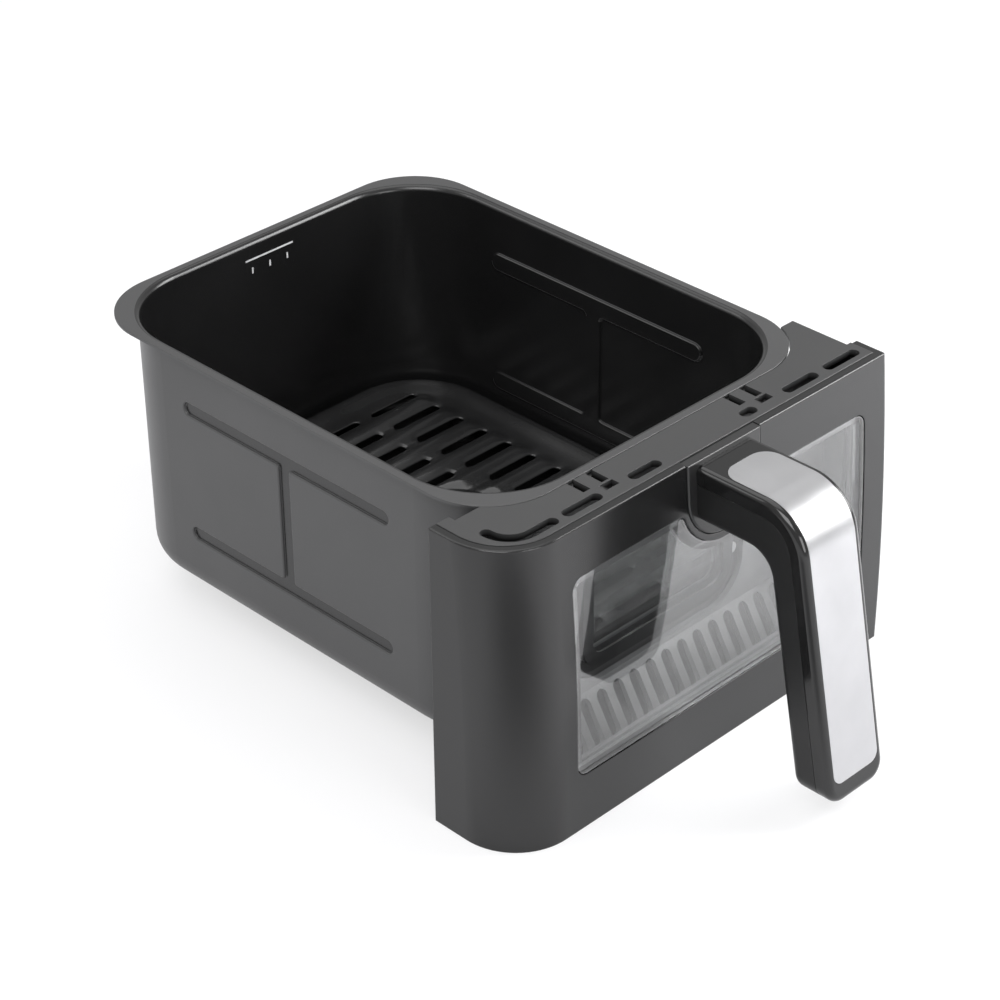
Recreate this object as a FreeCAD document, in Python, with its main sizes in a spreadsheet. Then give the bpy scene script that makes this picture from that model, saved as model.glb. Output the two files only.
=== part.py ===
import FreeCAD, Part
import math
import os
import Sketcher

# Drawer of a two-drawer air fryer. Millimetres, +Z up, the front faces -Y.
# The origin is the middle of the pan's base, on its underside.

DIMENSIONS = (
    ("pan_width", 179.7, "pan across the outside of its side walls"),
    ("pan_length", 227.3, "pan along the outside of its end walls"),
    ("pan_depth", 116.7, "pan base to the top of its rim"),
    ("pan_wall", 1.2, "sheet thickness of the pan"),
    ("pan_corner", 39.5, "outside radius of the pan's upright corners"),
    ("pan_base_radius", 12.0, "outside radius round the pan's base"),
    ("rim_width", 4.5, "flange beyond the pan's walls"),
    ("rim_corner", 31.5, "outside radius of the flange corners"),
    ("lip_radius", 2.5, "roll of the lip into the pan"),
    ("rim_edge", 0.4, "rounding of the flange's outer edge"),
    ("groove_drop", 26.4, "upper side groove below the rim top"),
    ("groove_low", 30.1, "height of the lower side groove"),
    ("groove_length", 121.0, "length of a side groove"),
    ("groove_width", 6.0, "width of a side groove"),
    ("groove_depth", 1.2, "depth of a side groove"),
    ("groove_shoulder", 0.75, "rounding where a groove leaves the wall"),
    ("groove_root", 0.4, "rounding in the bottom of a groove"),
    ("groove_middle", 1.0, "upright groove, along the pan"),
    ("sight_width", 76.0, "opening in the pan's front wall, across"),
    ("sight_low", 29.7, "opening in the pan's front wall, lower edge"),
    ("sight_drop", 39.0, "that opening's upper edge below the rim top"),
    ("sight_corner", 6.0, "corner radius of that opening"),
    ("sight_lap", 4.5, "how far the pan glass laps its opening"),
    ("sight_seal", 1.0, "thickness of the pan glass seal"),
    ("sight_glass", 3.0, "thickness of the pan glass"),
    ("frame_sheet", 1.0, "sheet thickness of the pan glass frame"),
    ("frame_flange", 5.0, "width of the frame's flange on the pan"),
    ("frame_screw_drop", 49.0, "upper screws of the frame below the rim top"),
    ("frame_screw_low", 39.7, "lower screws of the frame"),
    ("door_depth", 28.2, "pan front wall to the panel's face at its top"),
    ("panel_left", -110.0, "left side of the panel"),
    ("panel_right", 106.0, "right side of the panel"),
    ("panel_drop", 0.3, "panel's top edge below the rim top"),
    ("panel_skirt", 18.7, "panel below the pan's base"),
    ("panel_wall", 3.6, "wall thickness of the panel"),
    ("panel_corner", 27.0, "radius of the panel's left corner, in plan"),
    ("panel_edge", 1.2, "radius of the panel's right corner, in plan"),
    ("panel_round", 0.7, "rounding of the panel's top edge"),
    ("belly_middle", 4.7, "panel's face at mid height, forward of its top"),
    ("belly_low", 5.7, "panel's face at its foot, forward of its top"),
    ("panel_left_return", 38.4, "left side, front to back at the top"),
    ("panel_right_return", 14.5, "right side, front to back at the top"),
    ("window_left", -76.3, "left edge of the outer pane"),
    ("window_right", 91.9, "right edge of the outer pane"),
    ("window_drop", 21.4, "top edge of the outer pane below the rim top"),
    ("window_low", 7.3, "lower edge of the outer pane above the pan's base"),
    ("window_corner", 5.0, "corner radius of the outer pane"),
    ("pane_sheet", 2.2, "thickness of the outer pane"),
    ("pane_inset", 0.2, "outer pane behind the panel's face"),
    ("pane_gap", 0.5, "gap between the outer pane and the panel"),
    ("seal_width", 4.0, "width of the outer pane's seal"),
    ("shroud_lap", 2.0, "shroud beyond the outer pane"),
    ("shroud_sheet", 1.8, "thickness of the shroud"),
    ("seat_gap", 0.1, "gap between curved faces that seat on each other"),
    ("notch_radius", 24.3, "notch of the outer pane round the tongue"),
    ("notch_fillet", 3.0, "rounding where the notch meets the top edge"),
    ("handle_middle", 7.6, "middle of the handle, across"),
    ("tongue_width", 41.6, "tongue across"),
    ("tongue_reach", 36.5, "lowest point of the tongue below the rim top"),
    ("tongue_corner", 20.3, "radius of the tongue's lower corners"),
    ("tongue_drop", 0.6, "tongue's top below the rim top"),
    ("tongue_proud", 0.7, "tongue in front of the panel's face"),
    ("tongue_lean", 0.079, "tongue's face, forward per unit down"),
    ("tongue_back", 3.2, "tongue's back behind the panel's top face"),
    ("tongue_round", 0.8, "rounding of the tongue's front edge"),
    ("tongue_gap", 0.4, "gap between the tongue and the panel"),
    ("arm_drop", 2.8, "top of the handle's arm below the rim top"),
    ("arm_reach", 51.3, "panel's top face to the handle's outer bend point"),
    ("arm_depth", 23.0, "depth of the handle's arm"),
    ("grip_low", 122.7, "grip's foot below the top of the arm"),
    ("grip_depth", 18.8, "grip front to back, level"),
    ("grip_lean", 0.1936, "grip, forward per unit down"),
    ("bend_radius", 22.0, "outside bend of the handle"),
    ("inner_bend", 12.0, "inside bend of the handle"),
    ("handle_width", 32.6, "handle across"),
    ("shell_split", 7.0, "front shell's depth to the seam"),
    ("seam_gap", 0.3, "seam between the handle shells"),
    ("front_round", 2.9, "rounding along the front shell's edges"),
    ("rear_round", 3.2, "rounding along the rear shell's edges"),
    ("foot_round", 8.0, "rounding of the grip's foot, seen from the front"),
    ("inlay_width", 26.2, "inlay across"),
    ("inlay_sheet", 1.2, "thickness of the inlay"),
    ("inlay_start", 9.6, "panel's top face to the inlay's rear end"),
    ("inlay_low", 113.8, "inlay's foot below the top of the arm"),
    ("inlay_corner", 4.6, "corner radius of the inlay's foot"),
    ("inlay_root_corner", 8.0, "corner radius of the inlay's rear end"),
    ("inlay_gap", 0.15, "gap round the inlay"),
    ("core_width", 12.0, "steel core across"),
    ("core_depth", 4.0, "steel core front to back"),
    ("core_cover", 3.0, "rear shell in front of the core"),
    ("core_short", 14.0, "core's foot above the grip's foot"),
    ("core_gap", 0.2, "gap round the core"),
    ("plate_sheet", 2.0, "thickness of the socket plate"),
    ("plate_span", 68.0, "socket plate across"),
    ("plate_drop", 5.0, "socket plate's top below the rim top"),
    ("plate_arm", 12.0, "socket plate's arms, upright"),
    ("plate_height", 26.0, "socket plate, upright"),
    ("plate_tab", 26.0, "socket plate's tab across"),
    ("plate_screw_span", 56.0, "socket plate's outer screws, across"),
    ("plate_screw_drop", 11.0, "socket plate's outer screws below the rim top"),
    ("tab_screw_span", 19.0, "socket plate's tab screws, across"),
    ("tab_screw_drop", 26.0, "socket plate's tab screws below the rim top"),
    ("boss_width", 8.0, "bosses for the socket plate, across"),
    ("liner_wall", 2.5, "wall thickness of the door liner"),
    ("slope_rise", 33.7, "top of the liner's sloping bottom above the panel's foot"),
    ("slope_run", 17.5, "liner's sloping bottom, front to back"),
    ("floor_rise", 2.0, "liner's floor above the panel's foot"),
    ("liner_lap", 10.5, "liner's right end wall, front to back"),
    ("liner_clear", 1.5, "liner's opening round the pan glass frame"),
    ("vent_width", 5.5, "slots in the liner's slope, across"),
    ("vent_high", 31.9, "top of the slots in the liner's slope, above the panel's foot"),
    ("vent_low", 12.9, "lower end of those slots, above the panel's foot"),
    ("vent_pitch", 9.4, "pitch of the slots in the liner's slope"),
    ("vent_first", -63.5, "first slot in the liner's slope"),
    ("post_width", 5.0, "screw posts of the panel, across"),
    ("post_left", 20.5, "left screw posts inside the panel's left side"),
    ("post_right", 9.2, "right screw posts inside the panel's right side"),
    ("post_drop", 16.0, "upper screw posts below the rim top"),
    ("post_low", 21.7, "lower screw posts of the panel"),
    ("screw_width", 2.6, "screw shank across"),
    ("screw_head", 5.0, "screw head across"),
    ("screw_cap", 1.8, "screw head's height"),
    ("bracket_sheet", 2.5, "thickness of the pan brackets"),
    ("bracket_near", 14.0, "pan brackets, edge near the middle"),
    ("bracket_far", 50.0, "pan brackets, outer edge"),
    ("bracket_drop", 8.0, "pan brackets' top below the rim top"),
    ("bracket_height", 16.0, "pan brackets, upright"),
    ("rivet_width", 4.0, "rivet shank across"),
    ("rivet_head", 8.0, "rivet head across"),
    ("rivet_cap", 0.7, "rivet head's height"),
    ("rivet_inset", 6.0, "rivets from the ends of their bracket"),
    ("trim_plate", 3.0, "thickness of the top trim"),
    ("trim_gap", 0.5, "gap between the trim and its neighbours"),
    ("trim_round", 0.3, "rounding of the trim's front edge"),
    ("wing_right", 99.9, "right side of the trim's right wing"),
    ("wing_right_back", 23.0, "rear end of the right wing, from the datum"),
    ("wing_left_back", 17.8, "rear end of the left wing, from the datum"),
    ("wing_left_step", 14.6, "step in the left wing's rear end, from the datum"),
    ("wing_left_in", -100.1, "inner edge of that step"),
    ("trim_datum", 8.0, "datum of the trim's fore and aft sizes, before the pan"),
    ("slot_width", 5.0, "width of the trim's vents"),
    ("slot_line", -11.2, "middle of the trim's vents, from the datum"),
    ("slot_a_start", -70.2, "first straight vent, left end"),
    ("slot_a_end", -50.4, "first straight vent, right end"),
    ("slot_b_start", -34.8, "second straight vent, left end"),
    ("slot_b_end", -18.1, "second straight vent, right end"),
    ("slot_c_start", 28.3, "third straight vent, left end"),
    ("slot_c_end", 36.7, "third straight vent, right end"),
    ("slot_d_start", 53.8, "fourth straight vent, left end"),
    ("slot_d_end", 73.6, "fourth straight vent, right end"),
    ("slot_e_start", 78.6, "fifth straight vent, left end"),
    ("slot_e_end", 99.0, "fifth straight vent, right end"),
    ("corner_slot_left", -98.1, "left run of the corner vent"),
    ("corner_slot_end", -73.5, "right end of the corner vent"),
    ("corner_slot_back", 3.0, "rear end of the corner vent, from the datum"),
    ("corner_slot_bend", 11.5, "bend of the corner vent"),
    ("slit_back", 4.0, "rear end of the clip slits, from the datum"),
    ("slit_front", -5.8, "front end of the clip slits, from the datum"),
    ("slit_width", 3.8, "width of a clip slit"),
    ("slit_a", -52.0, "first clip slit from the left"),
    ("slit_b", -42.2, "second clip slit"),
    ("slit_c", 35.6, "third clip slit"),
    ("slit_d", 45.2, "fourth clip slit"),
    ("clip_width", 7.2, "width of a clip hole"),
    ("clip_a", -43.4, "middle of the left clip hole"),
    ("clip_b", 44.3, "middle of the right clip hole"),
    ("clip_back", -6.8, "rear end of the clip holes, from the datum"),
    ("clip_front", -10.8, "front end of the clip holes, from the datum"),
    ("clip_slope", 0.6, "ramp in a clip hole, down per unit across"),
    ("crisper_gap", 1.7, "crisper to the pan's walls"),
    ("crisper_top", 18.2, "crisper's top above the pan's base"),
    ("crisper_sheet", 1.2, "sheet thickness of the crisper"),
    ("crisper_skirt", 6.0, "turned-down edge of the crisper"),
    ("crisper_round", 3.0, "rounding of the crisper's edge"),
    ("border_width", 9.0, "raised border of the crisper, across"),
    ("border_rise", 2.4, "raised border of the crisper, upright"),
    ("border_shoulder", 1.4, "rounding of the border's inner edge"),
    ("border_root", 0.9, "rounding where the border meets the crisper's plate"),
    ("row_margin", 22.15, "pan's ends to the middle of the crisper's end rows of slots"),
    ("hole_share", 0.1503, "length of a crisper slot, as a share of the pan's width"),
    ("hole_width", 4.2, "width of a crisper slot"),
    ("hole_rim", 1.2, "raised edge round a crisper slot, across"),
    ("hole_raise", 0.5, "raised edge round a crisper slot, upright"),
    ("outer_share", 0.2938, "outer columns of slots from the middle, as a share of the pan's width"),
    ("inner_share", 0.0979, "inner columns of slots from the middle, as a share of the pan's width"),
    ("dome_share", 1.77, "radius of the dome, as a share of the row pitch"),
    ("dome_height", 9.0, "height of the dome"),
    ("dome_step", 3.2, "upright edge of the dome"),
    ("dome_round", 0.7, "rounding of that edge"),
    ("dome_crown", 0.62, "dome's crown before rounding, as a share of its radius"),
    ("foot_width", 10.0, "silicone foot across"),
    ("foot_across", 15.0, "silicone feet inside the pan's sides"),
    ("foot_along", 44.5, "silicone feet inside the pan's ends"),
    ("rest_gap", 0.3, "gap between pieces that come apart"),
)

# Rows of slots on each side of the crisper's middle row, and the first row clear of its dome.
CRISPER_ROWS = 6
DOME_ROWS = 2
LINER_VENTS = 17

# A round end is two corners that leave a short straight between them.
NEARLY = 0.98

# Reach of a cut that clears everything, and how near two places count as one.
FAR = 40.0
TOLERANCE = 0.01

document = FreeCAD.newDocument("fryer_drawer")
sizes = document.addObject("Spreadsheet::Sheet", "Sizes")
for row, (alias, number, note) in enumerate(DIMENSIONS, start=1):
    sizes.set("A%d" % row, str(number))
    sizes.setAlias("A%d" % row, alias)
    sizes.set("B%d" % row, note)
document.recompute()


def size(formula):
    """Value of a formula in the spreadsheet's cells."""
    return float(sizes.evalExpression(formula))


def new_body(name):
    return document.addObject("PartDesign::Body", name)


def origin_part(body, role):
    return [part for part in body.Origin.OriginFeatures if part.Role == role][0]


def new_sketch(body, plane, level):
    """Sketch on one of the body's own planes, moved along that plane's normal."""
    sketch = body.newObject("Sketcher::SketchObject", body.Name + "_sketch")
    sketch.AttachmentSupport = [(origin_part(body, plane), "")]
    sketch.MapMode = "FlatFace"
    sketch.setExpression("AttachmentOffset.Base.z", level)
    return sketch


def flat(across, along):
    return FreeCAD.Vector(across, along, 0)


def place(across, along):
    return flat(size(across), size(along))


def bind(sketch, rule, formula):
    number = sketch.addConstraint(rule)
    sketch.setExpression("Constraints[%d]" % number, formula)


def bind_point(sketch, geometry, end, across, along):
    """Ties a sketch point to two formulas."""
    bind(sketch, Sketcher.Constraint("DistanceX", -1, 1, geometry, end, size(across)), across)
    bind(sketch, Sketcher.Constraint("DistanceY", -1, 1, geometry, end, size(along)), along)


def arc_between(centre, radius, first, last):
    """Anticlockwise arc from one point to another."""
    start = math.atan2(first.y - centre.y, first.x - centre.x)
    stop = math.atan2(last.y - centre.y, last.x - centre.x)
    if stop < start:
        stop += 2.0 * math.pi
    circle = Part.Circle(centre, FreeCAD.Vector(0, 0, 1), radius)
    return Part.ArcOfCircle(circle, start, stop)


def round_corner(sketch, corner, line_in, line_out, ahead, back):
    """Arc of a corner, tangent to the lines before and after it."""
    across, along, formula = corner
    point = place(across, along)
    radius = size(formula)
    half = back.getAngle(ahead) / 2.0
    run = radius / math.tan(half)
    middle = (back + ahead).normalize() * (radius / math.sin(half))
    first = point + back * run
    last = point + ahead * run
    left_turn = ahead.x * back.y - ahead.y * back.x > 0
    if not left_turn:
        first, last = last, first
    arc = sketch.addGeometry(arc_between(point + middle, radius, first, last), False)
    end_in = 1 if left_turn else 2
    end_out = 3 - end_in
    sketch.addConstraint(Sketcher.Constraint("Tangent", line_in, 2, arc, end_in))
    sketch.addConstraint(Sketcher.Constraint("Tangent", line_out, 1, arc, end_out))
    bind(sketch, Sketcher.Constraint("Radius", arc, radius), formula)
    mark = sketch.addGeometry(Part.Point(point), True)
    bind_point(sketch, mark, 1, across, along)
    sketch.addConstraint(Sketcher.Constraint("PointOnObject", mark, 1, line_in))
    sketch.addConstraint(Sketcher.Constraint("PointOnObject", mark, 1, line_out))


def add_outline(sketch, corners):
    """Closed outline through corners given as (across, along, radius or None)."""
    points = [place(corner[0], corner[1]) for corner in corners]
    count = len(corners)
    ahead = []
    back = []
    runs = []
    for index in range(count):
        ahead.append((points[(index + 1) % count] - points[index]).normalize())
        back.append((points[index - 1] - points[index]).normalize())
        radius = size(corners[index][2]) if corners[index][2] else 0.0
        half = back[index].getAngle(ahead[index]) / 2.0
        runs.append(radius / math.tan(half))
    lines = []
    for index in range(count):
        after = (index + 1) % count
        start = points[index] + ahead[index] * runs[index]
        stop = points[after] + back[after] * runs[after]
        lines.append(sketch.addGeometry(Part.LineSegment(start, stop), False))
    for index, corner in enumerate(corners):
        line_in = lines[index - 1]
        line_out = lines[index]
        if corner[2]:
            round_corner(sketch, corner, line_in, line_out, ahead[index], back[index])
        else:
            sketch.addConstraint(Sketcher.Constraint("Coincident", line_in, 2, line_out, 1))
            bind_point(sketch, line_out, 1, corner[0], corner[1])


def add_box(sketch, left, right, low, high, radius=None):
    """Upright rectangle, with rounded corners if a radius is given."""
    corners = ((left, low), (right, low), (right, high), (left, high))
    add_outline(sketch, [(across, along, radius) for across, along in corners])


def add_circle(sketch, across, along, radius):
    circle = Part.Circle(place(across, along), FreeCAD.Vector(0, 0, 1), size(radius))
    geometry = sketch.addGeometry(circle, False)
    bind_point(sketch, geometry, 3, across, along)
    bind(sketch, Sketcher.Constraint("Radius", geometry, size(radius)), radius)


def add_arc_region(sketch, first, middle, last, others):
    """Closed region: an arc through three points, then straight edges through the others."""
    ends = [place(*first), place(*last)]
    through = place(*middle)
    centre = Part.Arc(ends[0], through, ends[1]).toShape().Curve.Center
    radius = (ends[0] - centre).Length
    turn = (through - ends[0]).cross(ends[1] - through).z
    if turn > 0:
        arc = sketch.addGeometry(arc_between(centre, radius, ends[0], ends[1]), False)
        end_first, end_last = 1, 2
    else:
        arc = sketch.addGeometry(arc_between(centre, radius, ends[1], ends[0]), False)
        end_first, end_last = 2, 1
    bind_point(sketch, arc, end_first, *first)
    bind_point(sketch, arc, end_last, *last)
    mark = sketch.addGeometry(Part.Point(through), True)
    bind_point(sketch, mark, 1, *middle)
    sketch.addConstraint(Sketcher.Constraint("PointOnObject", mark, 1, arc))
    stops = [last] + list(others) + [first]
    lines = []
    for start, stop in zip(stops, stops[1:]):
        lines.append(sketch.addGeometry(Part.LineSegment(place(*start), place(*stop)), False))
    sketch.addConstraint(Sketcher.Constraint("Coincident", lines[0], 1, arc, end_last))
    sketch.addConstraint(Sketcher.Constraint("Coincident", lines[-1], 2, arc, end_first))
    for index, other in enumerate(others):
        sketch.addConstraint(Sketcher.Constraint("Coincident", lines[index], 2, lines[index + 1], 1))
        bind_point(sketch, lines[index + 1], 1, *other)


def pad(body, sketch, length, reverse=False):
    feature = body.newObject("PartDesign::Pad", body.Name + "_pad")
    feature.Profile = sketch
    feature.setExpression("Length", length)
    feature.Reversed = reverse
    document.recompute()
    return feature


def pocket(body, sketch, length=None, reverse=False):
    """Cuts against the sketch's normal, along it if reversed, or both ways without a length."""
    feature = body.newObject("PartDesign::Pocket", body.Name + "_pocket")
    feature.Profile = sketch
    if length:
        feature.setExpression("Length", length)
        feature.Reversed = reverse
    else:
        feature.Type = "ThroughAll"
        feature.SideType = "Symmetric"
    document.recompute()
    return feature


def fillet(body, keep, radius):
    """Rounds the edges of the body's last feature that the test keeps."""
    base = body.Tip
    names = []
    for index, edge in enumerate(base.Shape.Edges, start=1):
        if keep(edge):
            names.append("Edge%d" % index)
    feature = body.newObject("PartDesign::Fillet", body.Name + "_fillet")
    feature.Base = (base, names)
    feature.setExpression("Radius", radius)
    document.recompute()
    return feature


def near(first, second):
    return abs(first - second) < TOLERANCE


def edge_at(axis, formula):
    """Test for edges that lie wholly at one value of an axis."""
    value = size(formula)

    def keep(edge):
        marks = [getattr(vertex.Point, axis) for vertex in edge.Vertexes]
        marks.append(getattr(edge.CenterOfMass, axis))
        return all(near(mark, value) for mark in marks)

    return keep


def face_at(axis, formula):
    """Test for faces that lie wholly at one value of an axis."""
    value = size(formula)
    return lambda face: all(near(getattr(vertex.Point, axis), value) for vertex in face.Vertexes)


def hollow(body, keep, wall):
    """Leaves a wall inside the body's last feature, open at the faces that the test keeps."""
    base = body.Tip
    names = []
    for index, face in enumerate(base.Shape.Faces, start=1):
        if keep(face):
            names.append("Face%d" % index)
    feature = body.newObject("PartDesign::Thickness", body.Name + "_hollow")
    feature.Base = (base, names)
    feature.setExpression("Value", wall)
    feature.Reversed = True
    document.recompute()
    return feature


PIECES = []


def piece(thing, label):
    thing.Label = label
    PIECES.append(thing)
    return thing


# Heights and fore-and-aft positions that several pieces share.
HALF_WIDTH = "(Sizes.pan_width / 2)"
PAN_FRONT = "(-Sizes.pan_length / 2)"
PAN_BACK = "(Sizes.pan_length / 2)"
FRONT_LEVEL = "(Sizes.pan_length / 2)"
RIM_HALF = "(Sizes.pan_width / 2 + Sizes.rim_width)"
RIM_FRONT = "(-Sizes.pan_length / 2 - Sizes.rim_width)"
RIM_BACK = "(Sizes.pan_length / 2 + Sizes.rim_width)"


def pan_outline(sketch, inset):
    """The pan's outline in plan, smaller all round by the inset."""
    side = "%s - (%s)" % (HALF_WIDTH, inset)
    end = "%s - (%s)" % (PAN_BACK, inset)
    add_box(sketch, "-(%s)" % side, side, "-(%s)" % end, end, "Sizes.pan_corner - (%s)" % inset)


def rim_outline(sketch):
    add_box(sketch, "-" + RIM_HALF, RIM_HALF, RIM_FRONT, RIM_BACK, "Sizes.rim_corner")


def inner_edge(height, inset):
    """Test for edges of the pan's outline, smaller by the inset, at a height."""
    level = edge_at("z", height)
    side = size("%s - %s" % (HALF_WIDTH, inset)) + TOLERANCE
    end = size("%s - %s" % (PAN_BACK, inset)) + TOLERANCE

    def keep(edge):
        return level(edge) and all(abs(v.X) < side and abs(v.Y) < end for v in edge.Vertexes)

    return keep


def groove_outline(sketch, grow):
    """Two level grooves joined by an upright one, as one outline."""
    half = "(Sizes.groove_width / 2 + %s)" % grow
    middle = "Sizes.groove_middle"
    rear = "(%s + Sizes.groove_length / 2 + %s)" % (middle, grow)
    fore = "(%s - Sizes.groove_length / 2 - %s)" % (middle, grow)
    tip = "%s * %g" % (half, NEARLY)
    turn = "%s / 2" % half
    line = "(Sizes.pan_depth - Sizes.groove_drop)"
    high = "(%s + %s)" % (line, half)
    high_under = "(%s - %s)" % (line, half)
    low_over = "(Sizes.groove_low + %s)" % half
    low = "(Sizes.groove_low - %s)" % half
    stem_fore = "(%s - %s)" % (middle, half)
    stem_rear = "(%s + %s)" % (middle, half)
    add_outline(
        sketch,
        (
            (fore, low, tip),
            (rear, low, tip),
            (rear, low_over, tip),
            (stem_rear, low_over, turn),
            (stem_rear, high_under, turn),
            (rear, high_under, tip),
            (rear, high, tip),
            (fore, high, tip),
            (fore, high_under, tip),
            (stem_fore, high_under, turn),
            (stem_fore, low_over, turn),
            (fore, low_over, tip),
        ),
    )


def groove_edge(face, grow):
    """Test for edges of the grooves' outline on one upright face."""
    on_face = edge_at("x", face)
    half = size("Sizes.groove_width / 2 + %s" % grow)
    reach = size("Sizes.groove_length / 2 + %s" % grow)
    middle = size("Sizes.groove_middle")
    places = [middle - reach, middle - half, middle + half, middle + reach]
    heights = []
    for line in ("Sizes.pan_depth - Sizes.groove_drop", "Sizes.groove_low"):
        heights += [size(line) - half, size(line) + half]

    def on_outline(vertex):
        level = any(near(vertex.Z, height) for height in heights)
        return level or any(near(vertex.Y, spot) for spot in places)

    return lambda edge: on_face(edge) and all(on_outline(vertex) for vertex in edge.Vertexes)


def sight_outline(sketch, grow):
    """The opening in the pan's front wall, larger all round."""
    half = "(Sizes.sight_width / 2 + %s)" % grow
    low = "Sizes.sight_low - (%s)" % grow
    high = "Sizes.pan_depth - Sizes.sight_drop + %s" % grow
    add_box(sketch, "-%s" % half, half, low, high, "Sizes.sight_corner + %s" % grow)


BRACKET_HIGH = "(Sizes.pan_depth - Sizes.bracket_drop)"
BRACKET_LOW = "(%s - Sizes.bracket_height)" % BRACKET_HIGH
BRACKET_LINE = "(%s - Sizes.bracket_height / 2)" % BRACKET_HIGH
RIVET_SPOTS = [
    ("(Sizes.bracket_near + Sizes.rivet_inset)", BRACKET_LINE),
    ("(Sizes.bracket_far - Sizes.rivet_inset)", BRACKET_LINE),
]
BRACKET_SPOT = ("((Sizes.bracket_near + Sizes.bracket_far) / 2)", BRACKET_LINE)
SKIRT_GROW = "(Sizes.sight_lap + Sizes.rest_gap + Sizes.frame_sheet)"
FLANGE_GROW = "(%s + Sizes.frame_flange)" % SKIRT_GROW
FRAME_SPOT = "(Sizes.sight_width / 2 + %s + Sizes.frame_flange / 2)" % SKIRT_GROW
FRAME_SPOTS = []
for side in ("", "-"):
    for height in ("Sizes.frame_screw_low", "(Sizes.pan_depth - Sizes.frame_screw_drop)"):
        FRAME_SPOTS.append((side + FRAME_SPOT, height))


def mirrored(spots):
    """The spots and their mirror images across the middle of the pan."""
    return list(spots) + [("-" + across, along) for across, along in spots]


def drill(body, level, spots, radius, length=None, reverse=False):
    """Round holes seen from the front."""
    sketch = new_sketch(body, "XZ_Plane", level)
    for across, along in spots:
        add_circle(sketch, across, along, radius)
    return pocket(body, sketch, length, reverse)


def make_pan():
    body = new_body("pan")
    sketch = new_sketch(body, "XY_Plane", "0")
    pan_outline(sketch, "0")
    pad(body, sketch, "Sizes.pan_depth")
    fillet(body, edge_at("z", "0"), "Sizes.pan_base_radius")
    hollow(body, face_at("z", "Sizes.pan_depth"), "Sizes.pan_wall")
    flange_low = "(Sizes.pan_depth - Sizes.pan_wall)"
    sketch = new_sketch(body, "XY_Plane", flange_low)
    rim_outline(sketch)
    pan_outline(sketch, "Sizes.pan_wall / 2")
    pad(body, sketch, "Sizes.pan_wall")
    fillet(body, inner_edge(flange_low, "0"), "Sizes.lip_radius - Sizes.pan_wall")
    fillet(body, inner_edge("Sizes.pan_depth", "Sizes.pan_wall / 2"), "Sizes.lip_radius")
    top = edge_at("z", "Sizes.pan_depth")
    beyond = size(HALF_WIDTH) + size("Sizes.lip_radius")
    beyond_end = size(PAN_BACK) + size("Sizes.lip_radius")

    def outside(vertex):
        return abs(vertex.X) > beyond or abs(vertex.Y) > beyond_end

    fillet(body, lambda edge: top(edge) and all(outside(v) for v in edge.Vertexes), "Sizes.rim_edge")
    for side, along in (("-", False), ("", True)):
        sketch = new_sketch(body, "YZ_Plane", "%s(%s - Sizes.pan_wall / 2)" % (side, HALF_WIDTH))
        groove_outline(sketch, "Sizes.pan_wall")
        pad(body, sketch, "Sizes.pan_wall / 2 + Sizes.groove_depth", reverse=along)
        sketch = new_sketch(body, "YZ_Plane", "%s%s" % (side, HALF_WIDTH))
        groove_outline(sketch, "0")
        pocket(body, sketch, "Sizes.groove_depth", reverse=not along)
        outside_face = "%s%s" % (side, HALF_WIDTH)
        inside_face = "%s(%s - Sizes.pan_wall)" % (side, HALF_WIDTH)
        bottom = "%s(%s - Sizes.groove_depth)" % (side, HALF_WIDTH)
        ridge = "%s(%s - Sizes.groove_depth - Sizes.pan_wall)" % (side, HALF_WIDTH)
        for face, grow, radius in (
            (bottom, "0", "Sizes.groove_root"),
            (outside_face, "0", "Sizes.groove_shoulder"),
            (inside_face, "Sizes.pan_wall", "Sizes.groove_root"),
            (ridge, "Sizes.pan_wall", "Sizes.groove_shoulder"),
        ):
            fillet(body, groove_edge(face, grow), radius)
    sketch = new_sketch(body, "XZ_Plane", FRONT_LEVEL)
    sight_outline(sketch, "0")
    pocket(body, sketch, "Sizes.pan_wall * 2")
    drill(body, FRONT_LEVEL, mirrored(RIVET_SPOTS), "Sizes.rivet_width / 2", "Sizes.pan_wall * 2")
    drill(body, FRONT_LEVEL, FRAME_SPOTS, "Sizes.screw_width / 2", "Sizes.pan_wall * 2")
    return piece(body, "pan")


def make_sight():
    """Seal, glass and frame of the opening in the pan's front wall."""
    seal = new_body("pan_window_seal")
    sketch = new_sketch(seal, "XZ_Plane", FRONT_LEVEL)
    sight_outline(sketch, "Sizes.sight_lap")
    sight_outline(sketch, "0")
    pad(seal, sketch, "Sizes.sight_seal")
    piece(seal, "pan_window_seal")

    glass = new_body("pan_window_glass")
    sketch = new_sketch(glass, "XZ_Plane", "%s + Sizes.sight_seal" % FRONT_LEVEL)
    sight_outline(sketch, "Sizes.sight_lap")
    pad(glass, sketch, "Sizes.sight_glass")
    piece(glass, "pan_window_glass")

    frame = new_body("pan_window_frame")
    stack = "(Sizes.sight_seal + Sizes.sight_glass)"
    sketch = new_sketch(frame, "XZ_Plane", FRONT_LEVEL)
    sight_outline(sketch, FLANGE_GROW)
    pad(frame, sketch, "Sizes.frame_sheet")
    sketch = new_sketch(frame, "XZ_Plane", FRONT_LEVEL)
    sight_outline(sketch, SKIRT_GROW)
    pad(frame, sketch, "%s + Sizes.frame_sheet" % stack)
    sketch = new_sketch(frame, "XZ_Plane", FRONT_LEVEL)
    sight_outline(sketch, "(Sizes.sight_lap + Sizes.rest_gap)")
    pocket(frame, sketch, stack, reverse=True)
    sketch = new_sketch(frame, "XZ_Plane", FRONT_LEVEL)
    sight_outline(sketch, "0")
    pocket(frame, sketch)
    drill(frame, FRONT_LEVEL, FRAME_SPOTS, "Sizes.screw_width / 2")
    piece(frame, "pan_window_frame")


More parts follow.
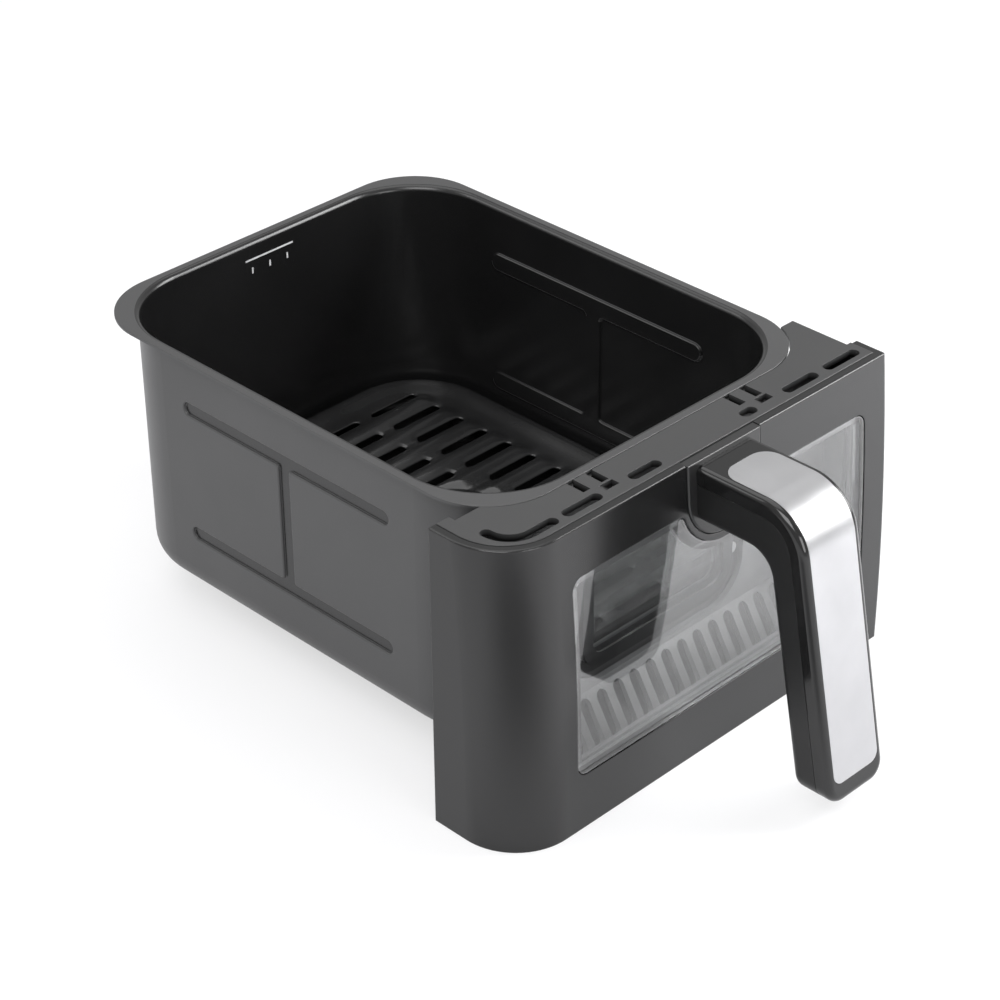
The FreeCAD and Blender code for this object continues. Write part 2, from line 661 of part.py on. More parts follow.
def cylinder(name, across, level, height, radius, length):
    """Cylinder along Y: from a level forward of the origin plane, going forward."""
    thing = document.addObject("Part::Cylinder", name)
    thing.setExpression("Radius", radius)
    thing.setExpression("Height", length)
    thing.Placement.Rotation = FreeCAD.Rotation(FreeCAD.Vector(1, 0, 0), 90)
    thing.setExpression("Placement.Base.x", across)
    thing.setExpression("Placement.Base.y", "-(%s)" % level)
    thing.setExpression("Placement.Base.z", height)
    return thing


def fastener(name, spot, shank, shank_length, head, head_length):
    """Shank and head as one solid. Shank and head are given as (level, radius)."""
    across, height = spot
    stem = cylinder(name + "_stem", across, shank[0], height, shank[1], shank_length)
    cap = cylinder(name + "_cap", across, head[0], height, head[1], head_length)
    whole = document.addObject("Part::Fuse", name)
    whole.Base = stem
    whole.Tool = cap
    return whole


def group(label, members):
    """Like fasteners as one piece of separate solids."""
    whole = document.addObject("Part::Compound", label)
    whole.Links = members
    document.recompute()
    return piece(whole, label)


SHANK = "Sizes.screw_width / 2"
HEAD = "Sizes.screw_head / 2"
CAP = "Sizes.screw_cap"


def make_pan_fasteners():
    rivets = []
    inner = "(%s - Sizes.pan_wall)" % FRONT_LEVEL
    for number, spot in enumerate(mirrored(RIVET_SPOTS), start=1):
        shank = (inner, "Sizes.rivet_width / 2")
        head = ("%s - Sizes.rivet_cap" % inner, "Sizes.rivet_head / 2")
        length = "Sizes.pan_wall + Sizes.bracket_sheet"
        rivets.append(fastener("rivet_%d" % number, spot, shank, length, head, "Sizes.rivet_cap"))
    group("pan_rivets", rivets)
    screws = []
    for number, spot in enumerate(FRAME_SPOTS, start=1):
        shank = (inner, SHANK)
        head = ("%s + Sizes.frame_sheet" % FRONT_LEVEL, HEAD)
        length = "Sizes.pan_wall + Sizes.frame_sheet"
        screws.append(fastener("frame_screw_%d" % number, spot, shank, length, head, CAP))
    group("pan_window_screws", screws)


def make_bracket(label, sign):
    """Spacer between the pan's front wall and the door liner."""
    body = new_body(label)
    near_edge = sign + "Sizes.bracket_near"
    far_edge = sign + "Sizes.bracket_far"
    edges = (near_edge, far_edge) if not sign else (far_edge, near_edge)
    sketch = new_sketch(body, "XZ_Plane", FRONT_LEVEL)
    add_box(sketch, edges[0], edges[1], BRACKET_LOW, BRACKET_HIGH)
    pad(body, sketch, "Sizes.bracket_sheet")
    drill(body, FRONT_LEVEL, [(sign + a, b) for a, b in RIVET_SPOTS], "Sizes.rivet_width / 2")
    drill(body, FRONT_LEVEL, [(sign + BRACKET_SPOT[0], BRACKET_SPOT[1])], SHANK)
    piece(body, label)


FACE_TOP = "(-Sizes.pan_length / 2 - Sizes.door_depth)"
FACE_MIDDLE = "(%s - Sizes.belly_middle)" % FACE_TOP
FACE_LOW = "(%s - Sizes.belly_low)" % FACE_TOP
PANEL_TOP = "(Sizes.pan_depth - Sizes.panel_drop)"
PANEL_LOW = "(-Sizes.panel_skirt)"
PANEL_HEIGHT = "(%s + Sizes.panel_skirt)" % PANEL_TOP
PANEL_MIDDLE = "(%s - %s / 2)" % (PANEL_TOP, PANEL_HEIGHT)
PANEL_BACK_LEFT = "(%s + Sizes.panel_left_return)" % FACE_TOP
PANEL_BACK_RIGHT = "(%s + Sizes.panel_right_return)" % FACE_TOP
INNER_LEFT = "(Sizes.panel_left + Sizes.panel_wall)"
INNER_RIGHT = "(Sizes.panel_right - Sizes.panel_wall)"
LINER_BACK = "(%s - Sizes.bracket_sheet)" % PAN_FRONT
LINER_FRONT = "(%s - Sizes.liner_wall)" % LINER_BACK
LINER_LEVEL = "(-%s)" % LINER_FRONT
TRIM_LOW = "(Sizes.pan_depth - Sizes.trim_plate)"
PLATE_FRONT = "(%s + Sizes.tongue_back)" % FACE_TOP
PLATE_LEVEL = "(-%s)" % PLATE_FRONT
HANDLE = "Sizes.handle_middle"
WINDOW_TOP = "(Sizes.pan_depth - Sizes.window_drop)"
WINDOW_LOW = "Sizes.window_low"
TONGUE_LOW = "(Sizes.pan_depth - Sizes.tongue_reach)"
TONGUE_CENTRE = "(%s + Sizes.tongue_width / 2)" % TONGUE_LOW


def face_shift(height):
    """How far the panel's face at a height lies forward of its face at the top."""
    down = "((%s - (%s)) / %s)" % (PANEL_TOP, height, PANEL_HEIGHT)
    first = "(4 * Sizes.belly_middle - Sizes.belly_low)"
    second = "(2 * Sizes.belly_low - 4 * Sizes.belly_middle)"
    return "(%s * %s + %s * %s ^ 2)" % (first, down, second, down)


def panel_section(body, level, face):
    """The panel in plan at one height."""
    wall = "Sizes.panel_wall"
    sketch = new_sketch(body, "XY_Plane", level)
    inner_face = "(%s + %s)" % (face, wall)
    add_outline(
        sketch,
        (
            ("Sizes.panel_left", face, "Sizes.panel_corner"),
            ("Sizes.panel_right", face, "Sizes.panel_edge"),
            ("Sizes.panel_right", PANEL_BACK_RIGHT, None),
            (INNER_RIGHT, PANEL_BACK_RIGHT, None),
            (INNER_RIGHT, inner_face, None),
            (INNER_LEFT, inner_face, "Sizes.panel_corner - %s" % wall),
            (INNER_LEFT, PANEL_BACK_LEFT, None),
            ("Sizes.panel_left", PANEL_BACK_LEFT, None),
        ),
    )
    return sketch


def face_region(sketch, depth, beyond):
    """Everything before (or behind) the panel's face moved back by a depth, seen from the side."""
    far = "(%s + (%s))" % (FACE_MIDDLE, beyond)
    add_arc_region(
        sketch,
        ("%s + (%s)" % (FACE_LOW, depth), PANEL_LOW),
        ("%s + (%s)" % (FACE_MIDDLE, depth), PANEL_MIDDLE),
        ("%s + (%s)" % (FACE_TOP, depth), PANEL_TOP),
        ((far, PANEL_TOP), (far, PANEL_LOW)),
    )


def window_block(name, grow, front, back):
    """Block of the outer pane's outline, larger by a margin, between two depths behind the face."""
    body = new_body(name)
    margin = "(%s)" % grow
    sketch = new_sketch(body, "XZ_Plane", "(-%s) - %g" % (FACE_MIDDLE, FAR))
    add_box(
        sketch,
        "Sizes.window_left - %s" % margin,
        "Sizes.window_right + %s" % margin,
        "%s - %s" % (WINDOW_LOW, margin),
        "%s + %s" % (WINDOW_TOP, margin),
        "Sizes.window_corner + %s" % margin,
    )
    pad(body, sketch, "%g" % (2.0 * FAR))
    sketch = new_sketch(body, "XZ_Plane", "0")
    notch_radius = "Sizes.notch_radius - %s" % margin
    add_circle(sketch, HANDLE, TONGUE_CENTRE, notch_radius)
    pocket(body, sketch)
    top = size("%s + %s" % (WINDOW_TOP, margin))
    middle = size(HANDLE)
    reach = size(notch_radius)

    def notch_end(edge):
        centre = edge.CenterOfMass
        upright = near(edge.BoundBox.XLength, 0.0) and near(edge.BoundBox.ZLength, 0.0)
        return upright and near(centre.z, top) and abs(centre.x - middle) < reach + TOLERANCE

    fillet(body, notch_end, "Sizes.notch_fillet")
    for depth, beyond in ((front, -FAR), (back, FAR)):
        sketch = new_sketch(body, "YZ_Plane", "0")
        face_region(sketch, depth, "%g" % beyond)
        pocket(body, sketch)
    return body


def cut(label, base, tool):
    whole = document.addObject("Part::Cut", label)
    whole.Base = base
    whole.Tool = tool
    document.recompute()
    return piece(whole, label)


PANE_BACK = "(Sizes.pane_inset + Sizes.pane_sheet)"
SHROUD_FRONT = "(Sizes.panel_wall + Sizes.seat_gap)"
SHROUD_BACK = "(%s + Sizes.shroud_sheet)" % SHROUD_FRONT
PLATE_SPOTS = []
TAB_SPOTS = []
for side in ("-", "+"):
    outer = "(%s %s Sizes.plate_screw_span / 2)" % (HANDLE, side)
    PLATE_SPOTS.append((outer, "(Sizes.pan_depth - Sizes.plate_screw_drop)"))
    inner = "(%s %s Sizes.tab_screw_span / 2)" % (HANDLE, side)
    TAB_SPOTS.append((inner, "(Sizes.pan_depth - Sizes.tab_screw_drop)"))
POST_SPOTS = []
POST_LEFT = "(Sizes.panel_left + Sizes.post_left)"
POST_RIGHT = "(Sizes.panel_right - Sizes.post_right)"
for across in (POST_LEFT, POST_RIGHT):
    for along in ("Sizes.post_low", "(Sizes.pan_depth - Sizes.post_drop)"):
        POST_SPOTS.append((across, along))


def tongue_outline(sketch, grow):
    half = "(Sizes.tongue_width / 2 + %s)" % grow
    left = "%s - %s" % (HANDLE, half)
    right = "%s + %s" % (HANDLE, half)
    low = "%s - %s" % (TONGUE_LOW, grow)
    high = "Sizes.pan_depth - Sizes.tongue_drop + %s" % grow
    corner = "Sizes.tongue_corner + %s" % grow
    top_edge = ((right, high, None), (left, high, None))
    add_outline(sketch, ((left, low, corner), (right, low, corner)) + top_edge)


def corner_depth(across):
    """How far behind the panel's face its left corner lies at a place across it."""
    inward = "(Sizes.panel_left + Sizes.panel_corner - %s)" % across
    return "(Sizes.panel_corner - sqrt(Sizes.panel_corner ^ 2 - %s ^ 2))" % inward


def make_panel():
    shell = new_body("panel_shell")
    low = panel_section(shell, PANEL_LOW, FACE_LOW)
    middle = panel_section(shell, PANEL_MIDDLE, FACE_MIDDLE)
    high = panel_section(shell, PANEL_TOP, FACE_TOP)
    loft = shell.newObject("PartDesign::AdditiveLoft", "panel_loft")
    loft.Profile = high
    loft.Sections = [middle, low]
    document.recompute()
    top = edge_at("z", PANEL_TOP)
    wall = size("Sizes.panel_wall")
    left = size("Sizes.panel_left")
    right = size("Sizes.panel_right")
    face = size(FACE_TOP)

    def outside(vertex):
        return near(vertex.X, left) or near(vertex.X, right) or near(vertex.Y, face)

    def rounded(edge):
        ends = all(outside(vertex) for vertex in edge.Vertexes)
        straight_back = near(edge.BoundBox.YLength, 0.0) and near(edge.BoundBox.XLength, wall)
        return top(edge) and ends and not straight_back

    fillet(shell, rounded, "Sizes.panel_round")
    sketch = new_sketch(shell, "XZ_Plane", PLATE_LEVEL)
    for across, along in PLATE_SPOTS:
        add_circle(sketch, across, along, "Sizes.boss_width / 2")
    pad(shell, sketch, "Sizes.tongue_back - Sizes.panel_wall / 2")
    for across, along in POST_SPOTS:
        sketch = new_sketch(shell, "XZ_Plane", LINER_LEVEL)
        add_circle(sketch, across, along, "Sizes.post_width / 2")
        reach = "%s - (%s) + %s - Sizes.panel_wall / 2" % (LINER_FRONT, FACE_TOP, face_shift(along))
        if across == POST_LEFT:
            reach = "%s - %s" % (reach, corner_depth(across))
        pad(shell, sketch, reach)
    sketch = new_sketch(shell, "XZ_Plane", "0")
    tongue_outline(sketch, "Sizes.tongue_gap")
    pocket(shell, sketch)
    drill(shell, PLATE_LEVEL, PLATE_SPOTS, SHANK, "Sizes.panel_wall / 2", reverse=True)
    drill(shell, LINER_LEVEL, POST_SPOTS, SHANK, "Sizes.post_width * 2", reverse=True)
    opening = window_block("panel_opening", "Sizes.pane_gap", "-Sizes.panel_wall", "Sizes.panel_wall * 2")
    cut("front_panel", shell, opening)


def make_window():
    pane = window_block("window_glass", "0", "Sizes.pane_inset", PANE_BACK)
    piece(pane, "window_glass")
    outer = window_block("gasket_outer", "0", PANE_BACK, "Sizes.panel_wall")
    inner = window_block("gasket_inner", "-Sizes.seal_width", "0", "Sizes.panel_wall * 2")
    cut("window_gasket", outer, inner)
    outer = window_block("shroud_outer", "Sizes.shroud_lap", SHROUD_FRONT, SHROUD_BACK)
    inner = window_block("shroud_inner", "-Sizes.seal_width", "0", "Sizes.panel_wall * 3")
    cut("window_shroud", outer, inner)


def make_liner():
    body = new_body("door_liner")
    wall = "Sizes.liner_wall"
    left = "(%s + Sizes.rest_gap)" % INNER_LEFT
    right = "(%s - Sizes.rest_gap)" % INNER_RIGHT
    floor_low = "(%s + Sizes.floor_rise)" % PANEL_LOW
    slope_high = "(%s + Sizes.slope_rise)" % PANEL_LOW
    floor_front = "(%s + Sizes.panel_wall + Sizes.rest_gap)" % FACE_LOW
    sketch = new_sketch(body, "YZ_Plane", left)
    add_outline(
        sketch,
        (
            (LINER_BACK, TRIM_LOW, None),
            (LINER_FRONT, TRIM_LOW, None),
            (LINER_FRONT, slope_high, None),
            ("%s - Sizes.slope_run" % LINER_FRONT, "%s + %s" % (floor_low, wall), None),
            (floor_front, "%s + %s" % (floor_low, wall), None),
            (floor_front, floor_low, None),
            ("%s - Sizes.slope_run" % LINER_BACK, floor_low, None),
            (LINER_BACK, slope_high, None),
        ),
    )
    pad(body, sketch, "%s - %s" % (right, left))
    sketch = new_sketch(body, "XY_Plane", floor_low)
    add_box(sketch, "%s - %s" % (right, wall), right, "%s - Sizes.liner_lap" % LINER_FRONT, LINER_BACK)
    pad(body, sketch, "%s - %s" % (TRIM_LOW, floor_low))
    radius = "(Sizes.panel_corner - Sizes.panel_wall - Sizes.rest_gap)"
    middle_x = "(%s + %s)" % (left, radius)
    middle_y = "(%s + %s)" % (floor_front, radius)
    diagonal = "(%s * sin(45 deg))" % radius
    sketch = new_sketch(body, "XY_Plane", "0")
    add_arc_region(
        sketch,
        (left, middle_y),
        ("%s - %s" % (middle_x, diagonal), "%s - %s" % (middle_y, diagonal)),
        (middle_x, floor_front),
        (
            (middle_x, "%s - %g" % (floor_front, FAR)),
            ("%s - %g" % (left, FAR), "%s - %g" % (floor_front, FAR)),
            ("%s - %g" % (left, FAR), middle_y),
        ),
    )
    pocket(body, sketch)
    sketch = new_sketch(body, "XZ_Plane", LINER_LEVEL)
    sight_outline(sketch, "%s + Sizes.liner_clear" % FLANGE_GROW)
    pocket(body, sketch, "%s * 2" % wall)
    drill(body, LINER_LEVEL, POST_SPOTS + mirrored([BRACKET_SPOT]), SHANK, "%s * 2" % wall)
    sketch = new_sketch(body, "XZ_Plane", "0")
    half = "Sizes.vent_width / 2"
    first = "Sizes.vent_first"
    ends = ("%s + Sizes.vent_low" % PANEL_LOW, "%s + Sizes.vent_high" % PANEL_LOW)
    add_box(sketch, "%s - %s" % (first, half), "%s + %s" % (first, half), *ends, "%s * %g" % (half, NEARLY))
    vent = pocket(body, sketch)
    row = body.newObject("PartDesign::LinearPattern", "door_liner_row")
    row.Originals = [vent]
    row.Direction = (origin_part(body, "X_Axis"), [""])
    row.setExpression("Length", "Sizes.vent_pitch * %d" % (LINER_VENTS - 1))
    row.Occurrences = LINER_VENTS
    body.Tip = row
    document.recompute()
    piece(body, "door_liner")
    screws = []
    for number, spot in enumerate(POST_SPOTS, start=1):
        head = ("(-%s) - %s" % (LINER_BACK, CAP), HEAD)
        shank = ("(-%s)" % LINER_BACK, SHANK)
        length = "%s + Sizes.post_width * 2" % wall
        screws.append(fastener("liner_screw_%d" % number, spot, shank, length, head, CAP))
    group("liner_screws", screws)
    screws = []
    for number, spot in enumerate(mirrored([BRACKET_SPOT]), start=1):
        head = (LINER_LEVEL, HEAD)
        shank = (FRONT_LEVEL, SHANK)
        length = "%s - %s" % (LINER_LEVEL, FRONT_LEVEL)
        screws.append(fastener("bracket_screw_%d" % number, spot, shank, length, head, CAP))
    group("bracket_screws", screws)


ARM_TOP = "(Sizes.pan_depth - Sizes.arm_drop)"
BEND = "(%s - Sizes.arm_reach)" % FACE_TOP
HANDLE_LEVEL = "(%s - Sizes.handle_width / 2)" % HANDLE


def tongue_face(height):
    """The tongue's front face at a height."""
    down = "(Sizes.pan_depth - (%s))" % height
    return "(%s - Sizes.tongue_proud - Sizes.tongue_lean * %s)" % (FACE_TOP, down)


def under_arm(depth):
    return "(%s - (%s))" % (ARM_TOP, depth)


def on_grip(depth, down):
    """Point of the grip: a level depth behind its front, so far below the top of the arm."""
    return ("(%s + (%s) - Sizes.grip_lean * (%s))" % (BEND, depth, down), under_arm(down))


def handle_band(sketch, shallow, deep, foot, starts, turns):
    """Side view of a layer of the handle between two depths, from its root round the bend to a foot."""
    add_outline(
        sketch,
        (
            (starts[0], under_arm(shallow), None),
            on_grip(shallow, shallow) + (turns[0],),
            on_grip(shallow, foot) + (None,),
            on_grip(deep[1], foot) + (None,),
            on_grip(deep[1], deep[0]) + (turns[1],),
            (starts[1], under_arm(deep[0]), None),
        ),
    )


def bend(depth):
    return "Sizes.bend_radius - (%s)" % depth


def side_edges(test):
    """Test for edges on the handle's two sides."""
    left = size(HANDLE_LEVEL)
    right = left + size("Sizes.handle_width")

    def keep(edge):
        across = [vertex.X for vertex in edge.Vertexes] + [edge.CenterOfMass.x]
        one_side = all(near(x, left) for x in across) or all(near(x, right) for x in across)
        return one_side and test(edge)

    return keep


FOOT = "Sizes.grip_low"


def round_foot(body):
    low = edge_at("z", under_arm(FOOT))
    fillet(body, side_edges(low), "Sizes.foot_round")


def along_edge(depth):
    """Test for edges of a handle shell along one of its depths, foot included."""
    start = size(under_arm(depth[0]))
    foot = size(under_arm(FOOT))
    front = size(BEND) + size(depth[1])
    lean = size("Sizes.grip_lean")
    top = size(ARM_TOP)

    def on_line(vertex):
        on_arm = near(vertex.Z, start)
        on_front = near(vertex.Y, front - lean * (top - vertex.Z))
        return on_arm or on_front

    def keep(edge):
        ends = edge.Vertexes
        if len(ends) < 2 or not all(on_line(vertex) for vertex in ends):
            return False
        across = near(edge.BoundBox.YLength, 0.0) and near(edge.BoundBox.ZLength, 0.0)
        return not across or near(ends[0].Z, foot)

    return keep


def inlay_block(name, grow, lift):
    """The inlay's form, larger by a margin."""
    body = new_body(name)
    half = "(Sizes.inlay_width / 2 + %s)" % grow
    deep = "Sizes.inlay_sheet + %s" % grow
    start = "%s - Sizes.inlay_start + %s" % (FACE_TOP, grow)
    sketch = new_sketch(body, "YZ_Plane", "%s - %s" % (HANDLE, half))
    shallow = "-(%s)" % lift
    turns = (bend(shallow), bend(deep))
    handle_band(sketch, shallow, (deep, deep), "Sizes.inlay_low + %s" % grow, (start, start), turns)
    pad(body, sketch, "2 * %s" % half)
    left = size("%s - %s" % (HANDLE, half))
    right = size("%s + %s" % (HANDLE, half))
    limit = (size(deep) + size(lift)) * math.hypot(1.0, size("Sizes.grip_lean")) + TOLERANCE
    root = size(start)

    def corner(edge):
        across = edge.CenterOfMass.x
        short = edge.Length < limit
        return short and near(edge.BoundBox.XLength, 0.0) and (near(across, left) or near(across, right))

    def root_corner(edge):
        return corner(edge) and near(edge.CenterOfMass.y, root)

    fillet(body, root_corner, "Sizes.inlay_root_corner + %s" % grow)
    fillet(body, corner, "Sizes.inlay_corner + %s" % grow)
    return body


def make_handle():
    tongue = new_body("handle_socket")
    sketch = new_sketch(tongue, "XZ_Plane", PLATE_LEVEL)
    tongue_outline(sketch, "0")
    pad(tongue, sketch, "%g" % FAR)
    sketch = new_sketch(tongue, "YZ_Plane", "0")
    high = "Sizes.pan_depth"
    low = "%s - Sizes.tongue_width" % TONGUE_LOW
    far = "%s - %g" % (PLATE_FRONT, 2.0 * FAR)
    face_line = ((tongue_face(low), low, None), (tongue_face(high), high, None))
    add_outline(sketch, ((far, low, None),) + face_line + ((far, high, None),))
    pocket(tongue, sketch)
    lean = size("Sizes.tongue_lean")
    face = size(tongue_face(high))
    top = size(high)

    def front_edge(edge):
        return all(near(v.Y, face - lean * (top - v.Z)) for v in edge.Vertexes)

    fillet(tongue, front_edge, "Sizes.tongue_round")
    core_shallow = "(Sizes.shell_split + Sizes.core_cover)"
    core_deep = "(%s + Sizes.core_depth)" % core_shallow
    core_half = "(Sizes.core_width / 2 + Sizes.core_gap)"
    sketch = new_sketch(tongue, "XZ_Plane", "0")
    add_box(
        sketch,
        "%s - %s" % (HANDLE, core_half),
        "%s + %s" % (HANDLE, core_half),
        under_arm("%s + Sizes.core_gap" % core_deep),
        under_arm("%s - Sizes.core_gap" % core_shallow),
    )
    pocket(tongue, sketch)
    drill(tongue, PLATE_LEVEL, TAB_SPOTS, SHANK, "Sizes.tongue_back", reverse=True)
    piece(tongue, "handle_socket")

    split = "Sizes.shell_split"
    front = new_body("front_shell")
    sketch = new_sketch(front, "YZ_Plane", HANDLE_LEVEL)
    starts = (tongue_face(ARM_TOP), tongue_face(under_arm(split)))
    handle_band(sketch, "0", (split, split), FOOT, starts, (bend("0"), bend(split)))
    pad(front, sketch, "Sizes.handle_width")
    round_foot(front)
    fillet(front, along_edge(("0", "0")), "Sizes.front_round")
    recess = inlay_block("inlay_recess", "Sizes.inlay_gap", "Sizes.inlay_sheet")
    cut("handle_front_shell", front, recess)
    piece(inlay_block("handle_inlay", "0", "0"), "handle_inlay")

    seam = "(Sizes.shell_split + Sizes.seam_gap)"
    rear = new_body("handle_rear_shell")
    sketch = new_sketch(rear, "YZ_Plane", HANDLE_LEVEL)
    starts = (tongue_face(under_arm(seam)), tongue_face(under_arm("Sizes.arm_depth")))
    deep = ("Sizes.arm_depth", "Sizes.grip_depth")
    handle_band(sketch, seam, deep, FOOT, starts, (bend(seam), "Sizes.inner_bend"))
    pad(rear, sketch, "Sizes.handle_width")
    round_foot(rear)
    fillet(rear, along_edge(deep), "Sizes.rear_round")
    gap = "Sizes.core_gap"
    foot = "(%s - Sizes.core_short)" % FOOT
    shallow = "(%s - %s)" % (core_shallow, gap)
    deep = "(%s + %s)" % (core_deep, gap)
    sketch = new_sketch(rear, "YZ_Plane", "%s - %s" % (HANDLE, core_half))
    starts = (PLATE_FRONT, PLATE_FRONT)
    handle_band(sketch, shallow, (deep, deep), "%s + %s" % (foot, gap), starts, (bend(shallow), bend(deep)))
    pocket(rear, sketch, "2 * %s" % core_half, reverse=True)
    piece(rear, "handle_rear_shell")

    core = new_body("handle_core")
    sketch = new_sketch(core, "YZ_Plane", "%s - Sizes.core_width / 2" % HANDLE)
    turns = (bend(core_shallow), bend(core_deep))
    handle_band(sketch, core_shallow, (core_deep, core_deep), foot, starts, turns)
    pad(core, sketch, "Sizes.core_width")
    piece(core, "handle_core")

    plate = new_body("socket_plate")
    sketch = new_sketch(plate, "XZ_Plane", "%s - Sizes.plate_sheet" % PLATE_LEVEL)
    span = "Sizes.plate_span / 2"
    tab = "Sizes.plate_tab / 2"
    high = "(Sizes.pan_depth - Sizes.plate_drop)"
    under = "(%s - Sizes.plate_arm)" % high
    low = "(%s - Sizes.plate_height)" % high
    add_outline(
        sketch,
        (
            ("%s - %s" % (HANDLE, tab), low, None),
            ("%s + %s" % (HANDLE, tab), low, None),
            ("%s + %s" % (HANDLE, tab), under, None),
            ("%s + %s" % (HANDLE, span), under, None),
            ("%s + %s" % (HANDLE, span), high, None),
            ("%s - %s" % (HANDLE, span), high, None),
            ("%s - %s" % (HANDLE, span), under, None),
            ("%s - %s" % (HANDLE, tab), under, None),
        ),
    )
    pad(plate, sketch, "Sizes.plate_sheet")
    drill(plate, PLATE_LEVEL, PLATE_SPOTS + TAB_SPOTS, SHANK)
    piece(plate, "socket_plate")
    screws = []
    back = "(%s - Sizes.plate_sheet)" % PLATE_LEVEL
    head = ("%s - %s" % (back, CAP), HEAD)
    for spots, grip in ((PLATE_SPOTS, "Sizes.panel_wall / 2"), (TAB_SPOTS, "Sizes.tongue_back")):
        for spot in spots:
            name = "socket_screw_%d" % (len(screws) + 1)
            screws.append(fastener(name, spot, (back, SHANK), "Sizes.plate_sheet + %s" % grip, head, CAP))
    group("socket_screws", screws)


def datum(formula):
    """A fore and aft size of the trim as a position."""
    return "(%s - Sizes.trim_datum + (%s))" % (PAN_FRONT, formula)


def make_trim():
    body = new_body("top_trim")
    inset = "(Sizes.panel_wall + Sizes.seat_gap)"
    left = "(Sizes.panel_left + %s)" % inset
    right = "(Sizes.panel_right - %s)" % inset
    front = "(%s + %s)" % (FACE_TOP, inset)
    step = "(%s + Sizes.trim_gap)" % PANEL_BACK_RIGHT
    sketch = new_sketch(body, "XY_Plane", TRIM_LOW)
    add_outline(
        sketch,
        (
            (left, front, "Sizes.panel_corner - %s" % inset),
            (right, front, None),
            (right, step, None),
            ("Sizes.wing_right", step, None),
            ("Sizes.wing_right", datum("Sizes.wing_right_back"), None),
            (HANDLE, datum("Sizes.wing_right_back"), None),
            (HANDLE, datum("Sizes.wing_left_step"), None),
            ("Sizes.wing_left_in", datum("Sizes.wing_left_step"), None),
            ("Sizes.wing_left_in", datum("Sizes.wing_left_back"), None),
            (left, datum("Sizes.wing_left_back"), None),
        ),
    )
    pad(body, sketch, "Sizes.trim_plate")
    top = edge_at("z", "Sizes.pan_depth")
    side = size(left)
    face = size(front)

    def front_edge(edge):
        return top(edge) and all(near(v.X, side) or near(v.Y, face) for v in edge.Vertexes)

    fillet(body, front_edge, "Sizes.trim_round")
    sketch = new_sketch(body, "XY_Plane", TRIM_LOW)
    half = "(%s + Sizes.trim_gap)" % RIM_HALF
    fore = "(%s - Sizes.trim_gap)" % RIM_FRONT
    corner = "Sizes.rim_corner + Sizes.trim_gap"
    rear_edge = ((half, "0", None), ("-" + half, "0", None))
    add_outline(sketch, (("-" + half, fore, corner), (half, fore, corner)) + rear_edge)
    pocket(body, sketch)
    half = "(Sizes.slot_width / 2)"
    tip = "%s * %g" % (half, NEARLY)
    line = datum("Sizes.slot_line")
    fore = "%s - %s" % (line, half)
    rear = "%s + %s" % (line, half)
    for name in ("slot_a", "slot_b", "slot_c", "slot_d", "slot_e"):
        sketch = new_sketch(body, "XY_Plane", TRIM_LOW)
        add_box(sketch, "Sizes.%s_start" % name, "Sizes.%s_end" % name, fore, rear, tip)
        pocket(body, sketch)
    outer = "Sizes.corner_slot_left - %s" % half
    inner = "Sizes.corner_slot_left + %s" % half
    back = datum("Sizes.corner_slot_back")
    end = "Sizes.corner_slot_end"
    sketch = new_sketch(body, "XY_Plane", TRIM_LOW)
    add_outline(
        sketch,
        (
            (outer, fore, "Sizes.corner_slot_bend + %s" % half),
            (end, fore, tip),
            (end, rear, tip),
            (inner, rear, "Sizes.corner_slot_bend - %s" % half),
            (inner, back, tip),
            (outer, back, tip),
        ),
    )
    pocket(body, sketch)
    sketch = new_sketch(body, "XY_Plane", TRIM_LOW)
    half = "Sizes.slit_width / 2"
    ends = (datum("Sizes.slit_front"), datum("Sizes.slit_back"))
    for name in ("slit_a", "slit_b", "slit_c", "slit_d"):
        across = "Sizes.%s" % name
        add_box(sketch, "%s - %s" % (across, half), "%s + %s" % (across, half), *ends)
    pocket(body, sketch)
    sketch = new_sketch(body, "XZ_Plane", "-" + datum("Sizes.clip_front"))
    ramp_low = "Sizes.pan_depth - Sizes.clip_slope * Sizes.clip_width"
    for middle in ("Sizes.clip_a", "Sizes.clip_b"):
        start = "%s - Sizes.clip_width / 2" % middle
        stop = "%s + Sizes.clip_width / 2" % middle
        ramp_end = ((stop, ramp_low, None), (stop, "Sizes.pan_depth", None))
        add_outline(sketch, ((start, "Sizes.pan_depth", None),) + ramp_end)
    pocket(body, sketch, "Sizes.clip_back - Sizes.clip_front")
    piece(body, "top_trim")


ROW_PITCH = "((Sizes.pan_length / 2 - Sizes.row_margin) / %d)" % CRISPER_ROWS


